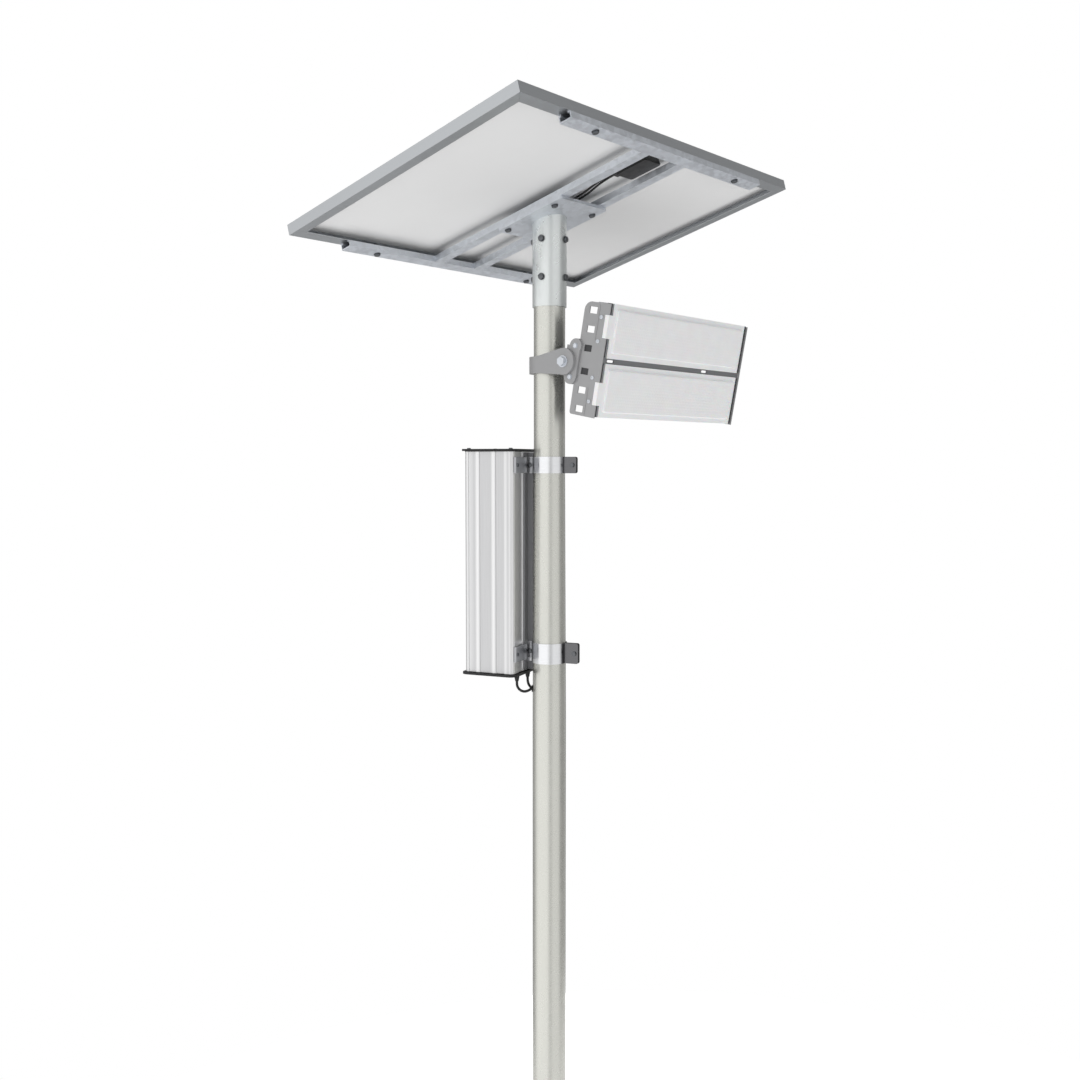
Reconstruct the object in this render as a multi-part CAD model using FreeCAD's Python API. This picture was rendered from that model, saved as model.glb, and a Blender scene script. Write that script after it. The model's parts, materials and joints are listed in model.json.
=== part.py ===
import FreeCAD, Part
import math
import os
from FreeCAD import Placement, Rotation, Vector

# Solar street lamp: a steel pole on a base plate carries a tilted solar panel on a
# swivelling sleeve, a two-module LED lamp on a tilting arm, and a battery box.
# The origin is on the pole's axis, on the underside of the base plate. Z is up, X runs
# along the lamp, and the panel slopes down towards +Y. Everything is in millimetres.

# ---- Pole ---------------------------------------------------------------------------
POLE_FOOT_R = 41.25          # 82.5 mm tube from the ground up
POLE_TOP_R = 38.05           # 76.1 mm tube at the top
POLE_WALL = 3.0
TAPER_START_Z = 2670.0       # where the two tubes meet and the taper begins
TAPER_END_Z = 3320.0
POLE_TOP_Z = 3838.0
BASE_SIDE = 320.0
BASE_THICK = 16.0
ANCHOR_SPACING = 240.0
ANCHOR_HOLE_R = 12.0
CABLE_HOLE_R = 28.0
GUSSET_GAP = 0.05            # weld gap between a gusset and the tube
GUSSET_REACH = 72.0
GUSSET_HEIGHT = 130.0
GUSSET_THICK = 8.0

# ---- Battery box, in its own frame: +x points from the pole to the box ---------------
BOX_HEADING = 106.6          # degrees round the pole
BOX_BACK = 60.0              # from the pole's axis to the box's back face
BOX_DEPTH = 131.0
BOX_WIDTH = 170.0
BOX_WALL = 4.0
BOX_CORNER_R = 11.0
BOX_LOW_Z = 2766.0
BOX_HIGH_Z = 3306.0
GASKET_THICK = 1.5
CAP_THICK = 5.0
CAP_OVERHANG = 8.0
FLUTE_DEPTH = 1.6
SIDE_FLUTES = ((35.0, 22.0), (73.0, 32.0), (109.0, 20.0))     # from the back, width
FRONT_FLUTES = (-57.0, -19.0, 19.0, 57.0)
FRONT_FLUTE_W = 28.0
BACK_FLUTE = (26.0, 50.0)    # on the back, either side of the rail
BOX_SCREW_R = 2.5
BOX_SCREW_INSET = 9.5        # cap screws, in from the box's faces
RAIL_WEB = 6.0               # the web that the strap ears grip
RAIL_FLANGE = 3.0
RAIL_FLANGE_W = 40.0
CLAMP_PLATE_H = 38.0
CLAMP_PLATE_THICK = 6.0
CLAMP_SCREW_Y = 70.0
CELL_R = 16.0
CELL_LENGTH = 140.0
CELL_LAYERS = (2785.0, 2940.0)
CELL_PITCH_X = 34.5
CELL_PITCH_Y = 36.0
HOLDER_THICK = 8.0
CONTROLLER_Z = 3110.0
STRAP_THICK = 3.0
STRAPS = ((3273.5, 40.0, 72.0), (2813.5, 50.0, 78.0))   # centre height, width, far ear's reach
STRAP_BOLT_R = 3.0
STRAP_BOLT_INSET = 10.0      # in from a far ear's end
EAR_BOLT_X = 50.0
GLAND_X = 73.0
GLAND_Y = 33.0
GLAND_LENGTH = 19.0
CABLE_R = 3.25
CABLE_LOOP = ((0.0, -5.5), (0.7, -12.1), (4.1, -18.8), (10.4, -24.1), (17.7, -26.2),
              (25.3, -25.1), (32.0, -21.6))   # towards the pole and down, from the gland
GROMMET_R = 6.5
GROMMET_TURN = 23.0          # degrees either side of the box's direction
GROMMET_Z = 2722.0
GROMMET_FACE = 43.6
GROMMET_NECK_START = 36.0
GROMMET_FLANGE_START = 41.4

# ---- Panel head, in the panel's frame: +y runs down the slope, +z out of the glass ---
PANEL_TILT = 15.0
PANEL_CENTRE = Vector(5.0, -6.0, 3884.5)   # middle of the frame's underside
PANEL_LONG = 1045.0
PANEL_SHORT = 712.0
FRAME_HEIGHT = 25.0
FRAME_WALL = 1.8
FRAME_FLANGE = 28.0
FRAME_LIP = 9.0
LAMINATE_LOW = 18.9
GLASS_THICK = 3.2
CELL_THICK = 0.9
BACKSHEET_THICK = 0.5
CHANNEL_W = 31.0
CHANNEL_H = 15.0
CHANNEL_WALL = 2.5
CHANNEL_LIP = 7.0
CROSS_RAIL_LENGTH = 752.0
CROSS_RAIL_X = 6.0           # the cross rails' middle
CROSS_RAIL_Y = PANEL_SHORT / 2 - CHANNEL_W / 2
RAIL_HALF_SPACING = 72.0
FRAME_BOLT_HALF_SPACING = 278.0
HEAD_PLATE_W = 180.0
HEAD_PLATE_Y = (-94.0, 108.0)
HEAD_PLATE_THICK = 8.0
HEAD_BOLT_Y = (-60.0, 89.0)
RAIL_BOLT_R = 4.0
HEAD_HOLE_R = 24.0
SLEEVE_R = 41.25
SLEEVE_BORE_R = 38.13        # turns on the pole with 0.08 mm to spare
SLEEVE_LOW_Z = 3654.0
SET_BOLT_TURN = 12.0
SET_BOLT_HEIGHTS = (3723.0, 3813.0)
JUNCTION_X = (-15.0, 48.0)
JUNCTION_Y = (-290.0, -205.0)
JUNCTION_LOW = 2.0
JUNCTION_WALL = 3.0
LEAD_EXITS = (-8.0, 2.0)
LEAD_R = 2.5

# ---- Lamp arm and lamp ----------------------------------------------------------------
PIVOT_Y = -80.0              # the tilt axis runs along X through this point
PIVOT_Z = 3517.5
ARM_Z = 3514.0
HOOP_R = 49.0
HOOP_BORE_R = 38.13
HOOP_HEIGHT = 40.0
ARM_LEG_THICK = 8.0
ARM_END_R = 31.5
EAR_HEADING = 60.0           # degrees, where the hoop is split and bolted
EAR_REACH = 66.0
EAR_HALF_WIDTH = 13.0
EAR_BOLT_REACH = 57.0
TILT_BOLT_R = 6.0
TILT_WASHER_R = 14.0
TILT_WASHER_THICK = 2.0
JOINT_GAP = 0.3              # between parts that turn against each other

LAMP_TILT = 10.7             # degrees that the lamp's face looks down
LAMP_ORIGIN = Vector(0.0, -182.1, 3514.6)  # on the middle line of the lamp's face
BRACKET_THICK = 3.0
KNUCKLE_THICK = 6.0
PAD_REACH = 9.0              # from an end cap out to its bracket
BRACKET_X = -HOOP_R + ARM_LEG_THICK + JOINT_GAP + KNUCKLE_THICK   # left bracket's outer face
LAMP_LEFT = BRACKET_X + BRACKET_THICK + PAD_REACH
LAMP_RIGHT = 574.0
RIGHT_BRACKET_X = LAMP_RIGHT + PAD_REACH                          # right bracket's inner face
MODULE_HIGH = 131.8
MODULE_LOW = 6.2
END_CAP_THICK = 4.0
HOUSING_X = (LAMP_LEFT + END_CAP_THICK, LAMP_RIGHT - END_CAP_THICK)
HOUSING_BASE = 11.5
HOUSING_DEPTH = 40.0
POCKET_DEPTH = 6.0
POCKET_INSET = 12.0
FIN_THICK = 2.5
FIN_PITCH = 11.3
LENS_RIM = 12.5
LENS_RIM_THICK = 2.5
LENS_DOME = 4.8
TAB_GAP = 0.3                # between a lens tab and the notch and pads round it
BOARD_THICK = 1.6
BOARD_GAP = 1.5              # from the board's edge to the pocket's wall
LED_COLUMNS = 14
LED_ROWS = 4
LED_SIZE = 5.0
LED_THICK = 1.4
BRACKET_BACK = 70.0
BRACKET_FRONT = -4.0
BRACKET_HIGH = 130.3
BRACKET_LOW = -134.2
BRACKET_HOLE_W = 22.0
BRACKET_HOLE_H = 15.4
BRACKET_HOLE_DEPTH = 43.5
BRACKET_HOLES = (-118.8, -74.8, -30.7, 23.0, 67.1, 111.2)
BRACKET_RIDGE = (25.0, 27.5)
RIDGE_HEIGHT = 1.2
MODULE_SCREW_INNER = 42.2    # heights of the screws that hold a module to its brackets
MODULE_SCREW_OUTER = 97.8
MODULE_SCREW_R = 2.5
MODULE_SCREW_DEPTH = 17.7
BRACKET_NOTCH = (50.5, 105.0)    # where the left bracket's front edge is cut back
BRACKET_NOTCH_DEPTH = 8.0
LEFT_LIPS = ((7.7, BRACKET_NOTCH[0] - 2), (BRACKET_NOTCH[1] + 2, MODULE_HIGH))
RIGHT_LIPS = ((7.7, 69.0), (72.0, MODULE_HIGH))
PAD_LIP_DEPTH = 8.0
PAD_DEPTH = 28.0
PAD_HALF_HEIGHT = 12.0
TIE_SLOTS = (5.6, 416.7)
TIE_SLOT_HALF_LENGTH = 13.4
KNUCKLE_PLATE_THICK = 5.0
KNUCKLE_BOSS_R = 25.0
LOBE_R = 17.0
LOBE_BOLT_R = 3.0
LOBES = (Vector(0, 76.5, 24.5), Vector(0, 80.0, -49.0))

X_AXIS = Vector(1, 0, 0)
Y_AXIS = Vector(0, 1, 0)
Z_AXIS = Vector(0, 0, 1)

BOX_FRAME = Placement(Vector(0, 0, 0), Rotation(Z_AXIS, BOX_HEADING))
PANEL_FRAME = Placement(PANEL_CENTRE, Rotation(X_AXIS, -PANEL_TILT))
LAMP_FRAME = Placement(LAMP_ORIGIN, Rotation(X_AXIS, LAMP_TILT))

# Where the pole's axis and the tilt axis lie in the frames of the panel and the lamp.
HEAD_DROP = -CHANNEL_H - HEAD_PLATE_THICK
AXIS_FOOT_Z = PANEL_CENTRE.z + (HEAD_DROP + PANEL_CENTRE.y * math.sin(math.radians(PANEL_TILT))
                               ) / math.cos(math.radians(PANEL_TILT))
AXIS_IN_PANEL = PANEL_FRAME.inverse().multVec(Vector(0, 0, AXIS_FOOT_Z))
PIVOT_IN_LAMP = LAMP_FRAME.inverse().multVec(Vector(0, PIVOT_Y, PIVOT_Z))


# ---- Small shapes ---------------------------------------------------------------------
def block(x0, x1, y0, y1, z0, z1):
    return Part.makeBox(x1 - x0, y1 - y0, z1 - z0, Vector(x0, y0, z0))


def rod(radius, start, direction, length):
    return Part.makeCylinder(radius, length, start, direction)


def pipe(outer, inner, start, direction, length):
    return rod(outer, start, direction, length).cut(rod(inner, start, direction, length))


def polygon(points):
    return Part.Face(Part.makePolygon(list(points) + [points[0]]))


def group(shapes):
    return Part.makeCompound(list(shapes))


def join(shapes):
    return shapes[0].fuse(shapes[1:]).removeSplitter()


def placed(shape, frame):
    moved = shape.copy()
    moved.Placement = frame.multiply(moved.Placement)
    return moved


def rounded_block(x0, x1, y0, y1, z0, z1, radius, axis):
    """A block whose four edges along one axis are rounded."""
    solid = block(x0, x1, y0, y1, z0, z1)
    edges = [e for e in solid.Edges if abs(e.tangentAt(e.FirstParameter).dot(axis)) > 0.99]
    return solid.makeFillet(radius, edges)


def hexagon(across_flats, start, direction, height):
    """A six-sided prism from start along direction."""
    ring = across_flats / math.sqrt(3.0)
    corners = [Vector(ring * math.cos(math.radians(a)), ring * math.sin(math.radians(a)), 0)
               for a in range(0, 360, 60)]
    prism = polygon(corners).extrude(Vector(0, 0, height))
    return placed(prism, Placement(start, Rotation(Z_AXIS, direction)))


def hex_bolt(seat, direction, radius, length):
    """A bolt: its head stands on the seat and its shank runs from there along direction."""
    head_height = 1.3 * radius
    head_start = seat - direction * head_height
    head = hexagon(3.25 * radius, head_start, direction, head_height)
    return join([head, rod(radius, seat, direction, length)])


def hex_nut(seat, direction, radius):
    """A nut from seat along direction, on a shank of the given radius."""
    nut = hexagon(3.25 * radius, seat, direction, 1.6 * radius)
    return nut.cut(rod(radius, seat, direction, 2.0 * radius))


def pan_screw(seat, direction, radius, length):
    """A small round-headed screw with a hexagon socket."""
    head = rod(1.9 * radius, seat - direction * radius, direction, radius)
    socket = hexagon(1.3 * radius, seat - direction * radius, direction, 0.7 * radius)
    return join([head, rod(radius, seat, direction, length)]).cut(socket)


def placed_point(radius, degrees, z):
    """The point at a radius, a heading and a height."""
    angle = math.radians(degrees)
    return Vector(radius * math.cos(angle), radius * math.sin(angle), z)


def pole_radius(z):
    """The pole's outer radius at a height."""
    if z <= TAPER_START_Z:
        return POLE_FOOT_R
    if z >= TAPER_END_Z:
        return POLE_TOP_R
    share = (z - TAPER_START_Z) / (TAPER_END_Z - TAPER_START_Z)
    return POLE_FOOT_R + share * (POLE_TOP_R - POLE_FOOT_R)


def cord_tube(name, points, radius):
    """A cord's tube: straight runs joined by arcs as large as the runs allow."""
    edges = []
    radii = []
    here = points[0]
    for before, corner, after in zip(points, points[1:], points[2:]):
        run_in = corner - before
        run_out = after - corner
        setback = 0.45 * min(run_in.Length, run_out.Length)
        turn = run_in.getAngle(run_out)
        run_in.normalize()
        run_out.normalize()
        start = corner - run_in * setback
        end = corner + run_out * setback
        arc_r = setback / math.tan(turn / 2)
        bisector = (run_out - run_in).normalize()
        middle = corner + bisector * (arc_r / math.cos(turn / 2) - arc_r)
        edges.append(Part.LineSegment(here, start).toShape())
        edges.append(Part.Arc(start, middle, end).toShape())
        radii.append(arc_r)
        here = end
    edges.append(Part.LineSegment(here, points[-1]).toShape())
    path = Part.Wire(edges)
    section = Part.Wire(Part.makeCircle(radius, points[0], points[1] - points[0]))
    tube = path.makePipeShell([section], True, False)
    expected = path.Length * math.pi * radius ** 2
    print(name, "length", round(path.Length, 1), "smallest radius", round(min(radii), 1),
          "radii", [round(r, 1) for r in radii], "volume ratio",
          round(tube.Volume / expected, 4), "valid", tube.isValid())
    return tube


# ---- Pole -----------------------------------------------------------------------------
def base_plate():
    plate = rounded_block(-BASE_SIDE / 2, BASE_SIDE / 2, -BASE_SIDE / 2, BASE_SIDE / 2,
                          0, BASE_THICK, 14, Z_AXIS)
    holes = [rod(CABLE_HOLE_R, Vector(0, 0, -1), Z_AXIS, BASE_THICK + 2)]
    for sx in (-1, 1):
        for sy in (-1, 1):
            centre = Vector(sx * ANCHOR_SPACING / 2, sy * ANCHOR_SPACING / 2, -1)
            holes.append(rod(ANCHOR_HOLE_R, centre, Z_AXIS, BASE_THICK + 2))
    return plate.cut(holes)


def base_gussets():
    """Four triangular stiffeners between the foot of the pole and the base plate."""
    inner = POLE_FOOT_R + GUSSET_GAP
    outer = POLE_FOOT_R + GUSSET_REACH
    top = BASE_THICK + GUSSET_HEIGHT
    side = polygon([Vector(inner, -GUSSET_THICK / 2, BASE_THICK),
                    Vector(outer, -GUSSET_THICK / 2, BASE_THICK),
                    Vector(outer, -GUSSET_THICK / 2, BASE_THICK + 14),
                    Vector(inner + 12, -GUSSET_THICK / 2, top),
                    Vector(inner, -GUSSET_THICK / 2, top)])
    gusset = side.extrude(Vector(0, GUSSET_THICK, 0))
    return group(placed(gusset, Placement(Vector(), Rotation(Z_AXIS, turn)))
                 for turn in (0, 90, 180, 270))


def pole_lower_tube():
    return pipe(POLE_FOOT_R, POLE_FOOT_R - POLE_WALL, Vector(0, 0, BASE_THICK), Z_AXIS,
                TAPER_START_Z - BASE_THICK)


def pole_upper_tube():
    """The tapered stretch and the straight top, with the two cable holes at its foot."""
    outline = [Vector(POLE_FOOT_R - POLE_WALL, 0, TAPER_START_Z),
               Vector(POLE_FOOT_R, 0, TAPER_START_Z),
               Vector(POLE_TOP_R, 0, TAPER_END_Z),
               Vector(POLE_TOP_R, 0, POLE_TOP_Z),
               Vector(POLE_TOP_R - POLE_WALL, 0, POLE_TOP_Z),
               Vector(POLE_TOP_R - POLE_WALL, 0, TAPER_END_Z)]
    tube = polygon(outline).revolve(Vector(), Z_AXIS, 360)
    for side in (-1, 1):
        tube = tube.cut(rod(GROMMET_R, Vector(0, 0, GROMMET_Z), grommet_axis(side), 60))
    return tube


def grommet_axis(side):
    return placed_point(1.0, BOX_HEADING + side * GROMMET_TURN, 0)


def pole_grommets():
    """Two rubber grommets where the battery cables enter the pole."""
    pieces = []
    for side in (-1, 1):
        axis = grommet_axis(side)
        neck_start = axis * GROMMET_NECK_START + Vector(0, 0, GROMMET_Z)
        flange_start = axis * GROMMET_FLANGE_START + Vector(0, 0, GROMMET_Z)
        neck = rod(GROMMET_R, neck_start, axis, GROMMET_FACE - GROMMET_NECK_START)
        flange = rod(GROMMET_R + 2.5, flange_start, axis, GROMMET_FACE - GROMMET_FLANGE_START)
        pieces.append(join([neck, flange]))
    return group(pieces)


# ---- Battery box ----------------------------------------------------------------------
def box_outline(grow, radius, z, height):
    """A rounded prism of the box's plan, grown sideways by a margin."""
    return rounded_block(BOX_BACK - grow, BOX_BACK + BOX_DEPTH + grow,
                         -BOX_WIDTH / 2 - grow, BOX_WIDTH / 2 + grow,
                         z, z + height, radius, Z_AXIS)


def box_shell():
    """Extruded shell: shallow flutes on its sides and a raised seat for the rear rail."""
    height = BOX_HIGH_Z - BOX_LOW_Z
    shell = box_outline(0, BOX_CORNER_R, BOX_LOW_Z, height)
    cavity = box_outline(-BOX_WALL, BOX_CORNER_R - BOX_WALL, BOX_LOW_Z, height)
    flutes = []
    for middle, width in SIDE_FLUTES:
        start = BOX_BACK + middle - width / 2
        for side in (-1, 1):
            face = side * BOX_WIDTH / 2
            low, high = sorted((face - side * FLUTE_DEPTH, face + side))
            flutes.append(block(start, start + width, low, high, BOX_LOW_Z, BOX_HIGH_Z))
    front = BOX_BACK + BOX_DEPTH
    for middle in FRONT_FLUTES:
        flutes.append(block(front - FLUTE_DEPTH, front + 1, middle - FRONT_FLUTE_W / 2,
                            middle + FRONT_FLUTE_W / 2, BOX_LOW_Z, BOX_HIGH_Z))
    for side in (-1, 1):
        low, high = sorted((side * BACK_FLUTE[0], side * BACK_FLUTE[1]))
        flutes.append(block(BOX_BACK - 1, BOX_BACK + FLUTE_DEPTH, low, high,
                            BOX_LOW_Z, BOX_HIGH_Z))
    shell = shell.cut([cavity] + flutes)
    for screw in rail_screw_places():
        shell = shell.cut(rod(BOX_SCREW_R, screw, X_AXIS, BOX_WALL + 2))
    return placed(shell, BOX_FRAME)


def box_cap(low_z):
    cap = box_outline(CAP_OVERHANG, BOX_CORNER_R + CAP_OVERHANG, low_z, CAP_THICK)
    for place in cap_screw_places(low_z - 1):
        cap = cap.cut(rod(BOX_SCREW_R, place, Z_AXIS, CAP_THICK + 2))
    return cap


def cap_screw_places(z):
    reach_x = BOX_DEPTH / 2 - BOX_SCREW_INSET
    reach_y = BOX_WIDTH / 2 - BOX_SCREW_INSET
    return [Vector(BOX_BACK + BOX_DEPTH / 2 + sx * reach_x, sy * reach_y, z)
            for sx in (-1, 1) for sy in (-1, 1)]


def box_cap_top():
    return placed(box_cap(BOX_HIGH_Z + GASKET_THICK), BOX_FRAME)


def box_cap_bottom():
    """The lower cap, with the holes of the two cable glands."""
    low = BOX_LOW_Z - GASKET_THICK - CAP_THICK
    cap = box_cap(low)
    for side in (-1, 1):
        cap = cap.cut(rod(5.0, Vector(GLAND_X, side * GLAND_Y, low - 1), Z_AXIS, 8))
    return placed(cap, BOX_FRAME)


def box_gaskets():
    pieces = []
    for z in (BOX_LOW_Z - GASKET_THICK, BOX_HIGH_Z):
        ring = box_outline(1.0, BOX_CORNER_R + 1.0, z, GASKET_THICK)
        hole = box_outline(-4.5, 6.0, z, GASKET_THICK)
        pieces.append(placed(ring.cut(hole), BOX_FRAME))
    return group(pieces)


def rail_screw_places():
    """Screws that hold the rail's clamp plates, on the box's back."""
    return [Vector(BOX_BACK, side * CLAMP_SCREW_Y, z) for z, _, _ in STRAPS for side in (-1, 1)]


def box_screws():
    """Eight cap screws and four clamp plate screws."""
    pieces = []
    top = BOX_HIGH_Z + GASKET_THICK + CAP_THICK
    bottom = BOX_LOW_Z - GASKET_THICK - CAP_THICK
    for place in cap_screw_places(top):
        pieces.append(pan_screw(place, Z_AXIS * -1, BOX_SCREW_R, CAP_THICK + 0.4))
    for place in cap_screw_places(bottom):
        pieces.append(pan_screw(place, Z_AXIS, BOX_SCREW_R, CAP_THICK + 0.4))
    for place in rail_screw_places():
        seat = Vector(BOX_BACK - CLAMP_PLATE_THICK, place.y, place.z)
        pieces.append(pan_screw(seat, X_AXIS, BOX_SCREW_R, CLAMP_PLATE_THICK + BOX_WALL + 1))
    return group(placed(piece, BOX_FRAME) for piece in pieces)


def cell_places():
    """Plan positions of the three by four cells in a layer."""
    return [(BOX_BACK + BOX_DEPTH / 2 + (i - 1) * CELL_PITCH_X, (j - 1.5) * CELL_PITCH_Y)
            for i in range(3) for j in range(4)]


def battery_cells():
    return group(placed(rod(CELL_R, Vector(x, y, z), Z_AXIS, CELL_LENGTH), BOX_FRAME)
                 for z in CELL_LAYERS for x, y in cell_places())


def cell_holders():
    """Plates with pockets that space the cells at the ends of each layer."""
    pieces = []
    for layer in CELL_LAYERS:
        for z in (layer - 4.0, layer + CELL_LENGTH - 4.0):
            plate = box_outline(-BOX_WALL - 0.6, 6.0, z, HOLDER_THICK)
            holes = [rod(CELL_R, Vector(x, y, layer), Z_AXIS, CELL_LENGTH)
                     for x, y in cell_places()]
            pieces.append(placed(plate.cut(holes), BOX_FRAME))
    return group(pieces)


def charge_controller():
    middle = BOX_BACK + BOX_DEPTH / 2
    top = CONTROLLER_Z + 32
    body = rounded_block(middle - 40, middle + 40, -62, 62, CONTROLLER_Z, top, 5, Z_AXIS)
    blocks = [block(middle + 8 * k - 3, middle + 8 * k + 3, -58, -46, top, top + 8)
              for k in range(-4, 5)]
    return placed(join([body] + blocks), BOX_FRAME)


def box_rear_rail():
    """T-section rail on the box's back: the strap ears grip its web."""
    flange = block(BOX_BACK - RAIL_FLANGE, BOX_BACK, -RAIL_FLANGE_W / 2, RAIL_FLANGE_W / 2,
                   BOX_LOW_Z + 2, BOX_HIGH_Z - 2)
    web = block(42.4, BOX_BACK - RAIL_FLANGE, -RAIL_WEB / 2, RAIL_WEB / 2,
                BOX_LOW_Z + 2, BOX_HIGH_Z - 2)
    rail = join([flange, web])
    for z, _, _ in STRAPS:
        rail = rail.cut(rod(STRAP_BOLT_R + 0.2, Vector(EAR_BOLT_X, -20, z), Y_AXIS, 40))
    return placed(rail, BOX_FRAME)


def rail_clamp_plates():
    """Stepped plates that hold the rail's flange against the box."""
    pieces = []
    for place in rail_screw_places():
        side = math.copysign(1.0, place.y)
        low = place.z - CLAMP_PLATE_H / 2
        high = place.z + CLAMP_PLATE_H / 2
        thin = sorted((side * 16.0, side * (RAIL_FLANGE_W / 2 + 0.2)))
        thick = sorted((side * (RAIL_FLANGE_W / 2 + 0.2), side * 79.0))
        back = BOX_BACK - CLAMP_PLATE_THICK
        plate = join([block(back, BOX_BACK - RAIL_FLANGE, *thin, low, high),
                      block(back, BOX_BACK, *thick, low, high)])
        hole = rod(BOX_SCREW_R, Vector(back - 1, place.y, place.z), X_AXIS, 8)
        pieces.append(placed(plate.cut(hole), BOX_FRAME))
    return group(pieces)


def half_strap(side, centre_z, width, reach):
    """Half of a pole strap with an ear at each end; side is +1 towards +y of the box."""
    low = centre_z - width / 2
    inner = pole_radius(low) + 0.15
    outer = inner + STRAP_THICK
    ring = pipe(outer, inner, Vector(0, 0, low), Z_AXIS, width)
    half_gap = RAIL_WEB / 2
    keep = sorted((side * half_gap, side * 60.0))
    ring = ring.common(block(-60, 60, *keep, low, low + width))
    span = sorted((side * half_gap, side * (half_gap + STRAP_THICK)))
    inset = math.sqrt(inner ** 2 - (half_gap + STRAP_THICK) ** 2) + 1.6
    far_ear = block(-reach, -inset, *span, low, low + width)
    box_ear = block(inset, BOX_BACK - RAIL_FLANGE - 0.5, *span, low, low + width)
    corners = [e for e in far_ear.Edges if abs(e.tangentAt(0).y) > 0.99
               and e.CenterOfMass.x < -reach + 1]
    far_ear = far_ear.makeFillet(5, corners)
    holes = [rod(STRAP_BOLT_R + 0.2, Vector(x, -20, centre_z), Y_AXIS, 40)
             for x in (STRAP_BOLT_INSET - reach, EAR_BOLT_X)]
    hollow = rod(inner, Vector(0, 0, low), Z_AXIS, width)
    return join([ring, far_ear.cut(hollow), box_ear.cut(hollow)]).cut(holes)


def straps(side):
    return group(placed(half_strap(side, *strap), BOX_FRAME) for strap in STRAPS)


def strap_bolts():
    """Bolts through the strap ears, and their nuts."""
    pieces = []
    seat = RAIL_WEB / 2 + STRAP_THICK
    for z, _, reach in STRAPS:
        for x in (STRAP_BOLT_INSET - reach, EAR_BOLT_X):
            pieces.append(hex_bolt(Vector(x, seat, z), Y_AXIS * -1, STRAP_BOLT_R, 2 * seat + 7))
            pieces.append(hex_nut(Vector(x, -seat, z), Y_AXIS * -1, STRAP_BOLT_R))
    return group(placed(piece, BOX_FRAME) for piece in pieces)


def box_glands():
    """Two cable glands under the lower cap."""
    pieces = []
    cap_low = BOX_LOW_Z - GASKET_THICK - CAP_THICK
    for side in (-1, 1):
        centre = Vector(GLAND_X, side * GLAND_Y, 0)
        nut = hexagon(15, centre + Vector(0, 0, cap_low), Z_AXIS * -1, 5)
        dome = Part.makeCone(7.0, 4.2, GLAND_LENGTH - 5, centre + Vector(0, 0, cap_low - 5),
                             Z_AXIS * -1)
        neck = rod(5.0, centre + Vector(0, 0, cap_low), Z_AXIS, 6)
        pieces.append(placed(join([nut, dome, neck]), BOX_FRAME))
    return group(pieces)


def battery_cable(side):
    """A short cable that loops from its gland into the pole."""
    low = BOX_LOW_Z - GASKET_THICK - CAP_THICK - GLAND_LENGTH
    gland = Vector(GLAND_X, side * GLAND_Y, low)
    entry = placed_point(GROMMET_FACE, side * GROMMET_TURN, GROMMET_Z)
    towards = Vector(entry.x - gland.x, entry.y - gland.y, 0).normalize()
    route = [gland]
    route += [gland + towards * along + Z_AXIS * drop for along, drop in CABLE_LOOP]
    route.append(entry)
    name = "battery_cable_near" if side > 0 else "battery_cable_far"
    return placed(cord_tube(name, route, CABLE_R), BOX_FRAME)


# ---- Panel head -----------------------------------------------------------------------
def frame_side(length):
    """One side of the panel's frame along x, its outer wall at y = 0, mitred at its ends."""
    profile = [(0, 0), (FRAME_FLANGE, 0), (FRAME_FLANGE, FRAME_WALL),
               (FRAME_WALL, FRAME_WALL), (FRAME_WALL, LAMINATE_LOW - FRAME_WALL),
               (FRAME_LIP, LAMINATE_LOW - FRAME_WALL), (FRAME_LIP, LAMINATE_LOW),
               (FRAME_WALL, LAMINATE_LOW), (FRAME_WALL, FRAME_HEIGHT - 1.5),
               (FRAME_LIP, FRAME_HEIGHT - 1.5), (FRAME_LIP, FRAME_HEIGHT),
               (0, FRAME_HEIGHT)]
    section = polygon([Vector(-length / 2, y, z) for y, z in profile])
    side = section.extrude(Vector(length, 0, 0))
    for end in (-1, 1):
        tip = end * length / 2
        waste = polygon([Vector(tip, 0, -1), Vector(tip + end * 60, 0, -1),
                         Vector(tip + end * 60, 60, -1), Vector(tip - end * 60, 60, -1)])
        side = side.cut(waste.extrude(Vector(0, 0, FRAME_HEIGHT + 2)))
    return side


def frame_piece(heading, length, reach):
    """A frame side turned to its place: its outer wall stands reach from the middle."""
    turned = Placement(Vector(), Rotation(Z_AXIS, heading))
    shape = placed(frame_side(length), Placement(Vector(0, -reach, 0), Rotation()))
    return placed(shape, PANEL_FRAME.multiply(turned))


def drill_frame(side, y):
    for x in (-FRAME_BOLT_HALF_SPACING, FRAME_BOLT_HALF_SPACING):
        hole = rod(RAIL_BOLT_R + 0.2, Vector(CROSS_RAIL_X + x, y, -1), Z_AXIS, 5)
        side = side.cut(placed(hole, PANEL_FRAME))
    return side


def frame_high():
    return drill_frame(frame_piece(0, PANEL_LONG, PANEL_SHORT / 2), -CROSS_RAIL_Y)


def frame_low():
    return drill_frame(frame_piece(180, PANEL_LONG, PANEL_SHORT / 2), CROSS_RAIL_Y)


def laminate_layer(low, thickness):
    half_long = PANEL_LONG / 2 - FRAME_WALL - 0.6
    half_short = PANEL_SHORT / 2 - FRAME_WALL - 0.6
    return block(-half_long, half_long, -half_short, half_short, low, low + thickness)


def panel_backsheet():
    return placed(laminate_layer(LAMINATE_LOW, BACKSHEET_THICK), PANEL_FRAME)


def cell_laminate():
    return placed(laminate_layer(LAMINATE_LOW + BACKSHEET_THICK, CELL_THICK), PANEL_FRAME)


def panel_glass():
    low = LAMINATE_LOW + BACKSHEET_THICK + CELL_THICK
    return placed(laminate_layer(low, GLASS_THICK), PANEL_FRAME)


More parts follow.
